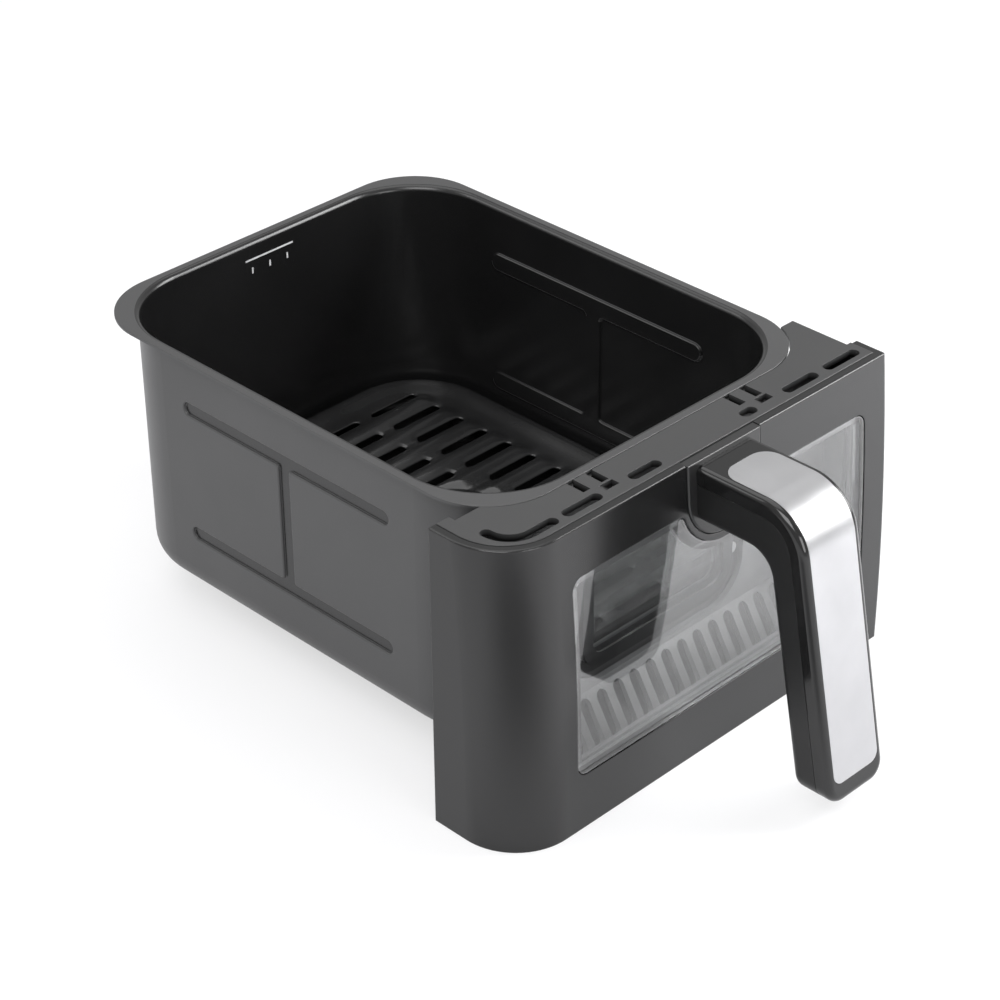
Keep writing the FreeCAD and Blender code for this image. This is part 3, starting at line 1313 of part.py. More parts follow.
def slot_rows(body, column, first_row, rows, mirror_ends):
    """Rows of raised-edged slots, mirrored to the other side and, if asked, to the other end."""
    top = "Sizes.crisper_top"
    half = "(Sizes.hole_share * Sizes.pan_width / 2)"
    thin = "Sizes.hole_width / 2"
    rim = "Sizes.hole_rim"
    along = "(%s * %d)" % (ROW_PITCH, first_row)
    features = []
    sketch = new_sketch(body, "XY_Plane", top + " - Sizes.crisper_sheet / 2")
    across = "(%s)" % column
    add_box(
        sketch,
        "%s - %s - %s" % (across, half, rim),
        "%s + %s + %s" % (across, half, rim),
        "%s - %s - %s" % (along, thin, rim),
        "%s + %s + %s" % (along, thin, rim),
        "(%s + %s) * %g" % (thin, rim, NEARLY),
    )
    features.append(pad(body, sketch, "Sizes.crisper_sheet / 2 + Sizes.hole_raise"))
    sketch = new_sketch(body, "XY_Plane", top)
    add_box(
        sketch,
        "%s - %s" % (across, half),
        "%s + %s" % (across, half),
        "%s - %s" % (along, thin),
        "%s + %s" % (along, thin),
        "%s * %g" % (thin, NEARLY),
    )
    features.append(pocket(body, sketch))
    row = body.newObject("PartDesign::LinearPattern", body.Name + "_rows")
    row.Direction = (origin_part(body, "Y_Axis"), [""])
    row.setExpression("Length", "%s * %d" % (ROW_PITCH, rows - 1))
    row.Occurrences = rows
    steps = [row]
    planes = ["YZ_Plane"] + (["XZ_Plane"] if mirror_ends else [])
    for plane in planes:
        mirror = body.newObject("PartDesign::Mirrored", body.Name + "_mirror")
        mirror.MirrorPlane = (origin_part(body, plane), [""])
        steps.append(mirror)
    whole = body.newObject("PartDesign::MultiTransform", body.Name + "_slots")
    whole.Originals = features
    whole.Transformations = steps
    body.Tip = whole
    document.recompute()


def make_crisper():
    body = new_body("crisper_plate")
    inset = "(Sizes.pan_wall + Sizes.crisper_gap)"
    top = "Sizes.crisper_top"
    sheet = "Sizes.crisper_sheet"
    border_top = "(%s + Sizes.border_rise)" % top
    border = "(%s + Sizes.border_width)" % inset
    sketch = new_sketch(body, "XY_Plane", top + " - Sizes.crisper_skirt")
    pan_outline(sketch, inset)
    pad(body, sketch, "Sizes.crisper_skirt + Sizes.border_rise")
    fillet(body, edge_at("z", border_top), "Sizes.crisper_round")
    hollow(body, face_at("z", top + " - Sizes.crisper_skirt"), sheet)
    sketch = new_sketch(body, "XY_Plane", "%s - %s" % (top, sheet))
    pan_outline(sketch, "%s - %s" % (border, sheet))
    pad(body, sketch, "Sizes.border_rise + %s / 2" % sheet)
    sketch = new_sketch(body, "XY_Plane", border_top)
    pan_outline(sketch, border)
    pocket(body, sketch, "Sizes.border_rise")
    fillet(body, inner_edge(border_top, border), "Sizes.border_shoulder")
    fillet(body, inner_edge(top, border), "Sizes.border_root")
    crown = "Sizes.crisper_top + Sizes.dome_height"
    under = "Sizes.crisper_top - %s" % sheet
    dome = "(Sizes.dome_share * %s)" % ROW_PITCH
    for kind, inset in (("Revolution", "0"), ("Groove", sheet)):
        sketch = new_sketch(body, "XZ_Plane", "0")
        edge = "(%s - %s)" % (dome, inset)
        add_outline(
            sketch,
            (
                ("0", under, None),
                (edge, under, None),
                (edge, "%s + Sizes.dome_step - %s" % (top, inset), "Sizes.dome_round"),
                ("Sizes.dome_crown * %s" % dome, "%s - %s" % (crown, inset), edge),
                ("0", "%s - %s" % (crown, inset), None),
            ),
        )
        turn = body.newObject("PartDesign::" + kind, "dome")
        turn.Profile = sketch
        turn.ReferenceAxis = (sketch, ["V_Axis"])
        turn.Angle = 360.0
        document.recompute()
    slot_rows(body, "Sizes.outer_share * Sizes.pan_width", -CRISPER_ROWS, 2 * CRISPER_ROWS + 1, False)
    slot_rows(body, "Sizes.inner_share * Sizes.pan_width", DOME_ROWS, CRISPER_ROWS - DOME_ROWS + 1, True)
    piece(body, "crisper_plate")
    floor = "(Sizes.pan_wall + Sizes.rest_gap)"
    for end, end_name in (("-", "front"), ("", "back")):
        for side, side_name in (("-", "left"), ("", "right")):
            foot = document.addObject("Part::Cylinder", "crisper_foot_%s_%s" % (end_name, side_name))
            foot.setExpression("Radius", "Sizes.foot_width / 2")
            foot.setExpression("Height", "%s - %s" % (under, floor))
            foot.setExpression("Placement.Base.x", "%s(%s - Sizes.foot_across)" % (side, HALF_WIDTH))
            foot.setExpression("Placement.Base.y", "%s(%s - Sizes.foot_along)" % (end, PAN_BACK))
            foot.setExpression("Placement.Base.z", floor)
            piece(foot, foot.Name)
    document.recompute()


def write_pieces():
    os.makedirs("parts", exist_ok=True)
    for thing in document.Objects:
        if "Invalid" in thing.State or "Error" in thing.State:
            raise RuntimeError("%s did not recompute: %s" % (thing.Label, thing.State))
    for thing in PIECES:
        if thing.Shape.isNull() or not thing.Shape.isValid():
            raise RuntimeError("%s has no valid shape" % thing.Label)
        thing.Shape.exportStep("parts/%s.step" % thing.Label)


make_pan()
make_sight()
make_bracket("pan_bracket_left", "-")
make_bracket("pan_bracket_right", "")
make_pan_fasteners()
make_panel()
make_window()
make_liner()
make_handle()
make_trim()
make_crisper()
document.recompute()
write_pieces()
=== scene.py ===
import math

import bmesh
import bpy
from mathutils import Matrix, Vector
from mathutils.geometry import delaunay_2d_cdt


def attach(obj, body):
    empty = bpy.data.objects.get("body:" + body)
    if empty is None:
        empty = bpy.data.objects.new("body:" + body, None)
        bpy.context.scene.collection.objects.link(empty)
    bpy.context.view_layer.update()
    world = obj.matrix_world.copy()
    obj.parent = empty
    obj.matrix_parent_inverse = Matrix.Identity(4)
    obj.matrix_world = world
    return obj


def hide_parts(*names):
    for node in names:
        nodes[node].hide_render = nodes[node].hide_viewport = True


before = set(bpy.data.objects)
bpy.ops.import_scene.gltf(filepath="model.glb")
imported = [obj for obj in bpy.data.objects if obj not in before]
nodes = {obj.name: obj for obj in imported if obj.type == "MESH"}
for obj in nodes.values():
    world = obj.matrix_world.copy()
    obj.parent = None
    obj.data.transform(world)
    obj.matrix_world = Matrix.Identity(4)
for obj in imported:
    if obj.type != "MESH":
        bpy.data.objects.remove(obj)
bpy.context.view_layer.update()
scene = bpy.context.scene

MM = 0.001

# Places on the part that its materials tell apart, in metres.
PAN_HALF = (89.85 * MM, 113.65 * MM)
PAN_CORNER = 39.5 * MM
PAN_WALL = 1.2 * MM
PAN_DEPTH = 116.7 * MM
LIP_RADIUS = 2.5 * MM
LIP_END = LIP_RADIUS - PAN_WALL
PANE_MIDDLE = (7.8 * MM, 51.3 * MM)
PANE_HALF = (84.1 * MM, 44.0 * MM)
PANE_CORNER = 5.0 * MM
NOTCH_MIDDLE = (7.6 * MM, 101.0 * MM)
NOTCH_RADIUS = 24.3 * MM

# Spans over which one look passes into the next.
INSIDE_REACH = (-0.9 * PAN_WALL, -0.75 * PAN_WALL)
INSIDE_SLOPE = (-0.03, -0.01)
LIP_REACH = (LIP_END - 0.15 * MM, LIP_END + 0.05 * MM)
LIP_HEIGHT = (PAN_DEPTH - LIP_RADIUS, PAN_DEPTH - 0.9 * LIP_RADIUS)
LIP_SLOPE = (0.02, 0.06)
# Bands inside the window pane's outline that get a painted highlight.
PANE_BEVEL = (-0.7 * MM, -0.5 * MM)
PANE_STRIP = (-2.1 * MM, -1.9 * MM)
PANE_BROAD = (0.5, 0.9)
STEEP_WALL = (0.4, 0.6)
# Height spans over which the steep walls of the liner and of the trim darken to black as painted
# shade.
LINER_PAINTED_SHADE = (97.0 * MM, 104.0 * MM)
TRIM_PAINTED_SHADE = (115.8 * MM, 114.2 * MM)

# Tones, shares and counts of the looks.
WHITE = (1.0, 1.0, 1.0, 1.0)
BLUE_CAST = 1.02
NOISE_MIDDLE = (0.3, 0.7)
PLASTIC_DRIFT = 0.08
METAL_DRIFT = 0.2
BRUSH_SPAN = (0.4, 1.1)
# Tone of the painted shade on steep walls, as a share of the plastic's own tone.
PAINTED_SHADE_TONE = 0.05
INSIDE_GRAIN = 0.3
# Shares of painted highlight along the window pane's edge: a thin bevel line and a strip just
# inside it.
PAINTED_BEVEL_HIGHLIGHT = 0.05
PAINTED_STRIP_HIGHLIGHT = 0.02
FACING_BLEND = 0.5
FACING_POWER = 5.0
BRUSH_SHARE = 0.5
EDGE_SAMPLES = 6

# Crisper plate, in millimetres.
CRISPER_HALF = (86.95, 110.75)
CRISPER_CORNER = 36.6
CRISPER_TOP = 18.2
CRISPER_SHEET = 1.2
CRISPER_SKIRT = 6.0
CRISPER_ROUND = 3.0
BORDER_RISE = 1.8
BORDER_FLAT = 4.2
BORDER_END = 12.4
ROW_PITCH = 15.25
END_ROW = 6
DOME_ROWS = 2
SLOT_HALF = 13.5
SLOT_THIN = 2.1
SLOT_LIP = 0.4
SLOT_LIP_WIDTH = 0.9
OUTER_COLUMN = 52.8
INNER_COLUMN = 17.6
DOME_RADIUS = 27.2
DOME_SHOULDER = 25.8
DOME_STEP = 3.2
DOME_CROWN = 5.3
DOME_MARGIN = 0.7
DOME_FADE = 6.0
RIB_RISE = 2.3
RIB_POWER = 0.75
RIB_END = 62.0
RIB_FADE = 9.0
ROW_FADE = 3.0

# How finely the crisper plate is divided, in millimetres and counts.
OUTLINE_POINTS = (24, 48)
SLOT_POINTS = (6, 8)
SLOT_ROUND = 0.99
SLOT_GROWTH = (0.4, 0.9)
BORDER_RINGS = (0.1, 0.3, 0.6, 1.0, 1.5, 2.1, 2.8, 4.2, 5.4, 6.6, 7.8, 9.0, 10.2, 11.4, 12.5)
MOAT_RINGS = (35.2, 34.0, 32.8, 31.6, 30.4, 29.3, 28.2)
DOME_RINGS = (27.2, 26.9, 26.6, 26.3, 26.0, 25.8, 24.8, 22.5, 19.5, 16.0, 12.0, 8.0, 4.0)
FINE_RING = 20.0
FINE_COUNT = 120
COARSE_COUNT = 48
MOAT_INNER = 28.0
MOAT_CLEARANCE = 1.2
GRID_ROWS = 70
GRID_COLUMNS = 29
GRID_PER_PITCH = 10.0
GRID_STEP = 2.7
GRID_STAGGER = 0.6
GRID_BORDER = BORDER_END + 0.6
GRID_START = 36.0
GRID_CLEARANCE = 1.5
SAME_POINT = 0.0001
RIM_NEAR = 0.05

# Printed fill line inside the rear wall, with plain ticks under it, in millimetres.
MARK_BACK = 112.55
MARK_FACE = 112.35
LINE_ENDS = (-11.6, 15.3)
LINE_HEIGHTS = (107.9, 108.7)
TICKS = (-8.0, 1.9, 11.8)
TICK_HALF = 0.4
TICK_HEIGHTS = (101.6, 104.4)

# Stage: a pale floor that fades into a white room, in metres.
FLOOR_LEVEL = -18.9 * MM
FLOOR_RADIUS = 5.0
FLOOR_POINTS = 96
FLOOR_TONES = (0.84, 0.86)
FLOOR_GLOW_REACH = (0.4, 1.5)
FLOOR_GLOW = (0.6, 1.0)
FLOOR_MIRRORED = 0.4
# Painted shade on the floor under the door, seen only through the pane.
UNDER_MIDDLE = (31.5 * MM, -103.0 * MM)
UNDER_HALF = (89.5 * MM, 44.0 * MM)
UNDER_CORNER = 12.0 * MM
UNDER_BLUR = (-9.0 * MM, -1.0 * MM)
UNDER_PAINTED_SHADE = 0.05
# Painted shade on the floor in front of the rounded corner, seen only in reflections.
CORNER_PLACE = (-0.21, -0.29, 0.0)
CORNER_REACH = (0.03, 0.19)
CORNER_PAINTED_SHADE = 0.6
CORNER_PAINTED_SHADE_TONE = 0.02
ROOM_LIGHT = 0.55
ROOM_MIRRORED = 0.3

# Softboxes: name, place, what it faces, width and height, power.
LAMPS = (
    ("key", (-1.0, -0.6, 1.3), (0.0, -0.05, 0.05), (1.0, 1.0), 16.0),
    ("edge", (0.89, -0.83, 0.92), (0.0, -0.05, 0.08), (0.42, 0.42), 6.5),
    ("low", (0.5, -0.42, 0.3), (0.16, -0.2, -0.02), (0.35, 0.35), 3.5),
    ("fill", (-0.15, -0.95, 0.3), (0.0, -0.14, 0.04), (0.4, 0.4), 2.5),
    ("over", (0.2, 0.4, 1.6), (0.0, 0.0, 0.05), (1.4, 1.4), 10.0),
    ("rear", (-0.8, 0.9, 0.95), (0.0, 0.0, 0.08), (0.7, 0.7), 3.5),
)

# Camera, from the photograph's perspective. The focal length is in widths of the picture.
VIEW_AZIMUTH = math.radians(-44.79)
VIEW_ELEVATION = math.radians(32.55)
VIEW_ROLL = math.radians(-0.51)
VIEW_FOCAL = 2817.3 / 1000.0
VIEW_PLACE = Vector((-0.6921, -0.72675, 0.6722))
SENSOR_WIDTH = 36.0


class Nodes:
    """A small helper round the node tree of a material or a world."""

    def __init__(self, owner, output):
        owner.use_nodes = True
        self.owner = owner
        self.tree = owner.node_tree
        self.tree.nodes.clear()
        self.output = self.add(output)
        self.places = None

    def add(self, kind, **settings):
        node = self.tree.nodes.new(kind)
        for key, value in settings.items():
            setattr(node, key, value)
        return node

    def link(self, source, target):
        self.tree.links.new(source, target)

    def feed(self, socket, value):
        """A socket gets a link, or a value of its own."""
        if isinstance(value, bpy.types.NodeSocket):
            self.link(value, socket)
        else:
            socket.default_value = value

    def place(self, kind):
        """The place or the normal of each point, in the object's own frame."""
        if self.places is None:
            self.places = self.add("ShaderNodeTexCoord").outputs
        return self.places[kind]

    def math(self, operation, first, second=0.0):
        node = self.add("ShaderNodeMath", operation=operation)
        self.feed(node.inputs[0], first)
        self.feed(node.inputs[1], second)
        return node.outputs[0]

    def vector(self, operation, first, second=(0.0, 0.0, 0.0)):
        node = self.add("ShaderNodeVectorMath", operation=operation)
        self.feed(node.inputs[0], first)
        self.feed(node.inputs[1], second)
        return node.outputs["Value" if operation == "LENGTH" else "Vector"]

    def split(self, vector):
        node = self.add("ShaderNodeSeparateXYZ")
        self.link(vector, node.inputs[0])
        return node.outputs

    def join(self, x, y):
        node = self.add("ShaderNodeCombineXYZ")
        self.feed(node.inputs[0], x)
        self.feed(node.inputs[1], y)
        return node.outputs[0]

    def span(self, value, span, to_low=0.0, to_high=1.0, smooth=False):
        """What lies in a span, set to run from one value to another."""
        node = self.add("ShaderNodeMapRange")
        if smooth:
            node.interpolation_type = "SMOOTHSTEP"
        settings = (
            ("Value", value),
            ("From Min", span[0]),
            ("From Max", span[1]),
            ("To Min", to_low),
            ("To Max", to_high),
        )
        for name, each in settings:
            self.feed(node.inputs[name], each)
        return node.outputs[0]

    def noise(self, scale, detail=3.0, rough=0.5, stretch=None):
        """Noise over the object, scale in bumps per metre."""
        place = self.place("Object")
        if stretch:
            place = self.vector("MULTIPLY", place, stretch)
        node = self.add("ShaderNodeTexNoise")
        self.link(place, node.inputs["Vector"])
        node.inputs["Scale"].default_value = scale
        node.inputs["Detail"].default_value = detail
        node.inputs["Roughness"].default_value = rough
        return node.outputs["Fac"]

    def vary(self, noise, low, high):
        """A value that a noise drives from low to high."""
        return self.span(noise, NOISE_MIDDLE, low, high)

    def mix(self, factor, first, second):
        node = self.add("ShaderNodeMix", data_type="RGBA")
        self.feed(node.inputs["Factor"], factor)
        for name, value in (("A", first), ("B", second)):
            socket = [s for s in node.inputs if s.name == name and s.type == "RGBA"][0]
            self.feed(socket, value)
        return [s for s in node.outputs if s.type == "RGBA"][0]

    def bump(self, height, distance, normal=None):
        node = self.add("ShaderNodeBump")
        node.inputs["Strength"].default_value = 1.0
        node.inputs["Distance"].default_value = distance
        self.link(height, node.inputs["Height"])
        if normal is not None:
            self.link(normal, node.inputs["Normal"])
        return node.outputs[0]

    def rounded(self, radius):
        """A normal that looks rounded at the edges."""
        node = self.add("ShaderNodeBevel", samples=EDGE_SAMPLES)
        node.inputs["Radius"].default_value = radius
        return node.outputs[0]

    def reach(self, across, along, half, corner):
        """Distance beyond a rounded box, negative inside it."""
        over = self.math("SUBTRACT", self.math("ABSOLUTE", across), half[0] - corner)
        past = self.math("SUBTRACT", self.math("ABSOLUTE", along), half[1] - corner)
        outside = self.join(self.math("MAXIMUM", over, 0.0), self.math("MAXIMUM", past, 0.0))
        beyond = self.vector("LENGTH", outside)
        short = self.math("MINIMUM", self.math("MAXIMUM", over, past), 0.0)
        return self.math("SUBTRACT", self.math("ADD", beyond, short), corner)

    def shader(self, kind, **values):
        """A shader node with its sockets set, named with _ for a space."""
        node = self.add(kind)
        for key, value in values.items():
            self.feed(node.inputs[key.replace("_", " ")], value)
        return node.outputs[0]

    def blend(self, share, first, second):
        """Two shaders, the second by its share."""
        node = self.add("ShaderNodeMixShader")
        for socket, source in zip(node.inputs, (share, first, second)):
            self.link(source, socket)
        return node.outputs[0]

    def surface(self, shader):
        self.link(shader, self.output.inputs["Surface"])
        return self.owner

    def principled(self, **values):
        return self.surface(self.shader("ShaderNodeBsdfPrincipled", **values))


def material_nodes(name):
    return Nodes(bpy.data.materials.new(name), "ShaderNodeOutputMaterial")


def grey(level):
    return (level, level, level * BLUE_CAST, 1.0)


def coat_colour(tree, level, share, scale):
    """A tone that drifts a little over the surface."""
    drift = tree.noise(scale, detail=4.0)
    darker = grey(level * (1.0 - share))
    lighter = grey(level * (1.0 + share))
    return tree.mix(tree.vary(drift, 0.0, 1.0), darker, lighter)


def plastic(name, level, rough, grain, grain_depth, ior=1.5, edge=0.3 * MM, shade_heights=None):
    """Moulded plastic with a fine grain and softened edges.

    Where a span of heights is given, its steep walls get painted shade that darkens them to black
    over it.
    """
    tree = material_nodes(name)
    fine = tree.noise(grain, detail=2.0, rough=0.6)
    wide = tree.noise(scale=35.0)
    colour = coat_colour(tree, level, share=0.06, scale=22.0)
    # Painted shade: steep walls darken to black over the span of heights.
    if shade_heights:
        height = tree.split(tree.place("Object"))[2]
        upward = tree.math("ABSOLUTE", tree.split(tree.place("Normal"))[2])
        steep = tree.span(upward, STEEP_WALL, 1.0, 0.0)
        shade = tree.math("MULTIPLY", tree.span(height, shade_heights), steep)
        colour = tree.mix(shade, colour, grey(level * PAINTED_SHADE_TONE))
    return tree.principled(
        Base_Color=colour,
        Roughness=tree.vary(wide, rough * (1.0 - PLASTIC_DRIFT), rough * (1.0 + PLASTIC_DRIFT)),
        IOR=ior,
        Normal=tree.bump(fine, grain_depth, normal=tree.rounded(edge)),
    )


def metal(name, level, rough, brushed):
    """Metal with fine brush marks along one direction."""
    tree = material_nodes(name)
    marks = tree.noise(scale=420.0, rough=0.65, stretch=brushed)
    cloud = tree.noise(scale=30.0)
    worn = tree.math("ADD", tree.math("MULTIPLY", marks, BRUSH_SHARE), cloud)
    smoother = rough * (1.0 - METAL_DRIFT)
    rougher = rough * (1.0 + METAL_DRIFT)
    return tree.principled(
        Base_Color=coat_colour(tree, level, share=0.05, scale=40.0),
        Metallic=1.0,
        Roughness=tree.span(worn, BRUSH_SPAN, smoother, rougher),
        Normal=tree.bump(marks, distance=0.02 * MM),
    )


def rubber(name, level):
    """Silicone with a dull, fine skin."""
    tree = material_nodes(name)
    return tree.principled(
        Base_Color=coat_colour(tree, level, share=0.12, scale=60.0),
        Roughness=tree.vary(tree.noise(scale=80.0), low=0.55, high=0.7),
        Normal=tree.bump(tree.noise(scale=2500.0, detail=2.0), distance=0.03 * MM),
    )


def pan_coating():
    """Satin grey outside, black gloss inside up to the top of the lip, by the place on the wall."""
    tree = material_nodes("pan_coating")
    x, y, z = tree.split(tree.place("Object"))
    up = tree.split(tree.place("Normal"))[2]
    reach = tree.reach(x, y, PAN_HALF, PAN_CORNER)
    wall = tree.span(reach, INSIDE_REACH, 1.0, 0.0)
    wall = tree.math("MULTIPLY", wall, tree.span(up, INSIDE_SLOPE))
    lip = tree.span(reach, LIP_REACH, 1.0, 0.0)
    lip = tree.math("MULTIPLY", lip, tree.span(z, LIP_HEIGHT))
    lip = tree.math("MULTIPLY", lip, tree.span(up, LIP_SLOPE))
    inside = tree.math("MAXIMUM", wall, lip)
    outer = coat_colour(tree, level=0.042, share=0.05, scale=18.0)
    inner = coat_colour(tree, level=0.008, share=0.15, scale=25.0)
    wide = tree.noise(scale=28.0)
    fine = tree.noise(scale=1500.0, rough=0.6)
    satin = tree.vary(wide, low=0.36, high=0.42)
    gloss = tree.vary(wide, low=0.2, high=0.25)
    depth = tree.math("MULTIPLY", fine, tree.span(inside, (0.0, 1.0), 1.0, INSIDE_GRAIN))
    return tree.principled(
        Base_Color=tree.mix(inside, outer, inner),
        Roughness=tree.span(inside, (0.0, 1.0), satin, gloss),
        Normal=tree.bump(depth, distance=0.04 * MM),
    )


def crisper_coating():
    """Black non-stick coating."""
    tree = material_nodes("crisper_coating")
    return tree.principled(
        Base_Color=coat_colour(tree, level=0.018, share=0.2, scale=30.0),
        Roughness=tree.vary(tree.noise(scale=45.0), low=0.16, high=0.22),
        Normal=tree.bump(tree.noise(scale=1300.0), distance=0.03 * MM),
    )


def mark_ink():
    """Pale print."""
    tree = material_nodes("mark_ink")
    return tree.principled(
        Base_Color=coat_colour(tree, level=0.5, share=0.08, scale=400.0),
        Roughness=tree.vary(tree.noise(scale=300.0), low=0.45, high=0.55),
    )


def pane(name, mirror, tint, outline=False):
    """Coated glass: its broad faces let light through and throw some back.

    Where it has an outline, a painted highlight along its edge throws more back there.
    """
    tree = material_nodes(name)
    haze = tree.vary(tree.noise(scale=60.0), low=0.015, high=0.03)
    clear = tree.shader("ShaderNodeBsdfTransparent", Color=tint)
    shine = tree.shader("ShaderNodeBsdfGlossy", Color=WHITE, Roughness=haze)
    angle = tree.add("ShaderNodeLayerWeight")
    angle.inputs["Blend"].default_value = FACING_BLEND
    grazing = tree.math("POWER", angle.outputs["Facing"], FACING_POWER)
    share = tree.span(grazing, (0.0, 1.0), mirror, 1.0)
    if outline:
        place = tree.split(tree.place("Object"))
        x, z = place[0], place[2]
        across = tree.math("SUBTRACT", x, PANE_MIDDLE[0])
        along = tree.math("SUBTRACT", z, PANE_MIDDLE[1])
        reach = tree.reach(across, along, PANE_HALF, PANE_CORNER)
        notch_x = tree.math("SUBTRACT", x, NOTCH_MIDDLE[0])
        notch_z = tree.math("SUBTRACT", z, NOTCH_MIDDLE[1])
        hollow = tree.vector("LENGTH", tree.join(notch_x, notch_z))
        reach = tree.math("MAXIMUM", reach, tree.math("SUBTRACT", NOTCH_RADIUS, hollow))
        # Painted highlight along the pane's edge: a thin bevel line and a strip just inside it.
        edge_highlight = tree.span(reach, PANE_BEVEL, 0.0, PAINTED_BEVEL_HIGHLIGHT)
        strip_highlight = tree.span(reach, PANE_STRIP, 0.0, PAINTED_STRIP_HIGHLIGHT)
        share = tree.math("ADD", share, tree.math("ADD", edge_highlight, strip_highlight))
    facing = tree.math("ABSOLUTE", tree.split(tree.place("Normal"))[1])
    share = tree.math("MULTIPLY", share, tree.span(facing, PANE_BROAD))
    return tree.surface(tree.blend(share, clear, shine))


STEEL = metal("plain_steel", level=0.5, rough=0.32, brushed=(1.0, 1.0, 12.0))
SEAL = rubber("silicone", level=0.012)
LINER = plastic(
    "liner_plastic", level=0.12, rough=0.45, grain=1400.0, grain_depth=0.06 * MM, shade_heights=LINER_PAINTED_SHADE
)
TRIM = plastic(
    "trim_plastic", level=0.03, rough=0.42, grain=1800.0, grain_depth=0.06 * MM, shade_heights=TRIM_PAINTED_SHADE
)
HANDLE = plastic(
    "handle_plastic", level=0.007, rough=0.33, grain=2000.0, grain_depth=0.03 * MM, ior=1.4
)
HANDLE_GLOSS = plastic(
    "handle_gloss", level=0.005, rough=0.1, grain=900.0, grain_depth=0.01 * MM
)
PANEL = plastic(
    "panel_gloss", level=0.006, rough=0.2, grain=900.0, grain_depth=0.004 * MM, edge=0.7 * MM
)
SOCKET = plastic(
    "socket_plastic", level=0.012, rough=0.3, grain=1800.0, grain_depth=0.04 * MM
)
CRISPER = crisper_coating()

LOOKS = {
    "pan": pan_coating(),
    "pan_window_seal": SEAL,
    "pan_window_glass": pane("sight_glass", mirror=0.03, tint=(0.95, 0.96, 0.96, 1.0)),
    "pan_window_frame": metal("black_steel", level=0.05, rough=0.4, brushed=(1.0, 1.0, 12.0)),
    "pan_bracket_left": STEEL,
    "pan_bracket_right": STEEL,
    "pan_rivets": STEEL,
    "pan_window_screws": STEEL,
    "front_panel": PANEL,
    "window_glass": pane("window_pane", mirror=0.085, tint=(0.97, 0.975, 0.975, 1.0), outline=True),
    "window_gasket": rubber("grey_silicone", level=0.06),
    "window_shroud": LINER,
    "door_liner": LINER,
    "liner_screws": STEEL,
    "bracket_screws": STEEL,
    "handle_socket": SOCKET,
    "handle_front_shell": HANDLE_GLOSS,
    "handle_inlay": metal("inlay_aluminium", level=0.47, rough=0.34, brushed=(14.0, 1.0, 1.0)),
    "handle_rear_shell": HANDLE,
    "handle_core": STEEL,
    "socket_plate": STEEL,
    "socket_screws": STEEL,
    "top_trim": TRIM,
    "crisper_plate": CRISPER,
    "crisper_foot_front_left": SEAL,
    "crisper_foot_front_right": SEAL,
    "crisper_foot_back_left": SEAL,
    "crisper_foot_back_right": SEAL,
}
for name, look in LOOKS.items():
    thing = nodes[name]
    thing.data.materials.clear()
    thing.data.materials.append(look)


def smooth(value):
    """Soft step from 0 to 1."""
    value = min(max(value, 0.0), 1.0)
    return value * value * (3.0 - 2.0 * value)


def rounded_loop(half, corner, per_corner, per_side):
    """Points round a rounded box, anticlockwise."""
    loop = []
    for quarter in range(4):
        sign_x = 1.0 if quarter in (0, 3) else -1.0
        sign_y = 1.0 if quarter in (0, 1) else -1.0
        middle = Vector((sign_x * (half[0] - corner), sign_y * (half[1] - corner)))
        for step in range(per_corner + 1):
            angle = math.radians(90.0) * (quarter + step / per_corner)
            loop.append(middle + corner * Vector((math.cos(angle), math.sin(angle))))
        sign_x, sign_y = -sign_y, sign_x
        after = Vector((sign_x * (half[0] - corner), sign_y * (half[1] - corner)))
        shift = after - middle
        start = loop[-1].copy()
        for step in range(1, per_side):
            loop.append(start + shift * (step / per_side))
    return loop


def slot_places():
    """Middles of the crisper's slots. The dome leaves no room for the inner ones beside it."""
    places = []
    for row in range(-END_ROW, END_ROW + 1):
        columns = [OUTER_COLUMN] if abs(row) < DOME_ROWS else [OUTER_COLUMN, INNER_COLUMN]
        for column in columns:
            places += [(column, row * ROW_PITCH), (-column, row * ROW_PITCH)]
    return places


def slot_reach(x, y, places):
    """Distance beyond the nearest slot's edge, negative inside a slot."""
    nearest = math.inf
    for across, along in places:
        over = max(abs(x - across) - SLOT_HALF + SLOT_THIN, 0.0)
        nearest = min(nearest, math.hypot(over, y - along) - SLOT_THIN)
    return nearest


def plate_inset(x, y):
    """Distance inside the crisper's outline."""
    over = abs(x) - CRISPER_HALF[0] + CRISPER_CORNER
    past = abs(y) - CRISPER_HALF[1] + CRISPER_CORNER
    beyond = math.hypot(max(over, 0.0), max(past, 0.0)) + min(max(over, past), 0.0)
    return CRISPER_CORNER - beyond


def plate_height(x, y, places):
    """Height of the crisper's pressed surface above its plate."""
    inset = plate_inset(x, y)
    if inset < CRISPER_ROUND:
        fall = CRISPER_ROUND - max(inset, 0.0)
        return BORDER_RISE - CRISPER_ROUND + math.sqrt(CRISPER_ROUND ** 2 - fall ** 2)
    border = BORDER_RISE * (1.0 - smooth((inset - BORDER_FLAT) / (BORDER_END - BORDER_FLAT)))
    middle = math.hypot(x, y)
    wave = 0.5 - 0.5 * math.cos(2.0 * math.pi * y / ROW_PITCH)
    rib = RIB_RISE * wave ** RIB_POWER * (1.0 - smooth((abs(x) - RIB_END) / RIB_FADE))
    rib *= 1.0 - smooth((abs(y) - END_ROW * ROW_PITCH) / ROW_FADE)
    rib *= smooth((middle - DOME_RADIUS - DOME_MARGIN) / DOME_FADE)
    dome = 0.0
    if middle < DOME_SHOULDER:
        dome = DOME_STEP + DOME_CROWN * (1.0 - (middle / DOME_SHOULDER) ** 2)
    elif middle < DOME_RADIUS:
        dome = DOME_STEP * smooth((DOME_RADIUS - middle) / (DOME_RADIUS - DOME_SHOULDER))
    lip = -SLOT_LIP * (1.0 - smooth(slot_reach(x, y, places) / SLOT_LIP_WIDTH))
    return max(border, rib) + dome + lip


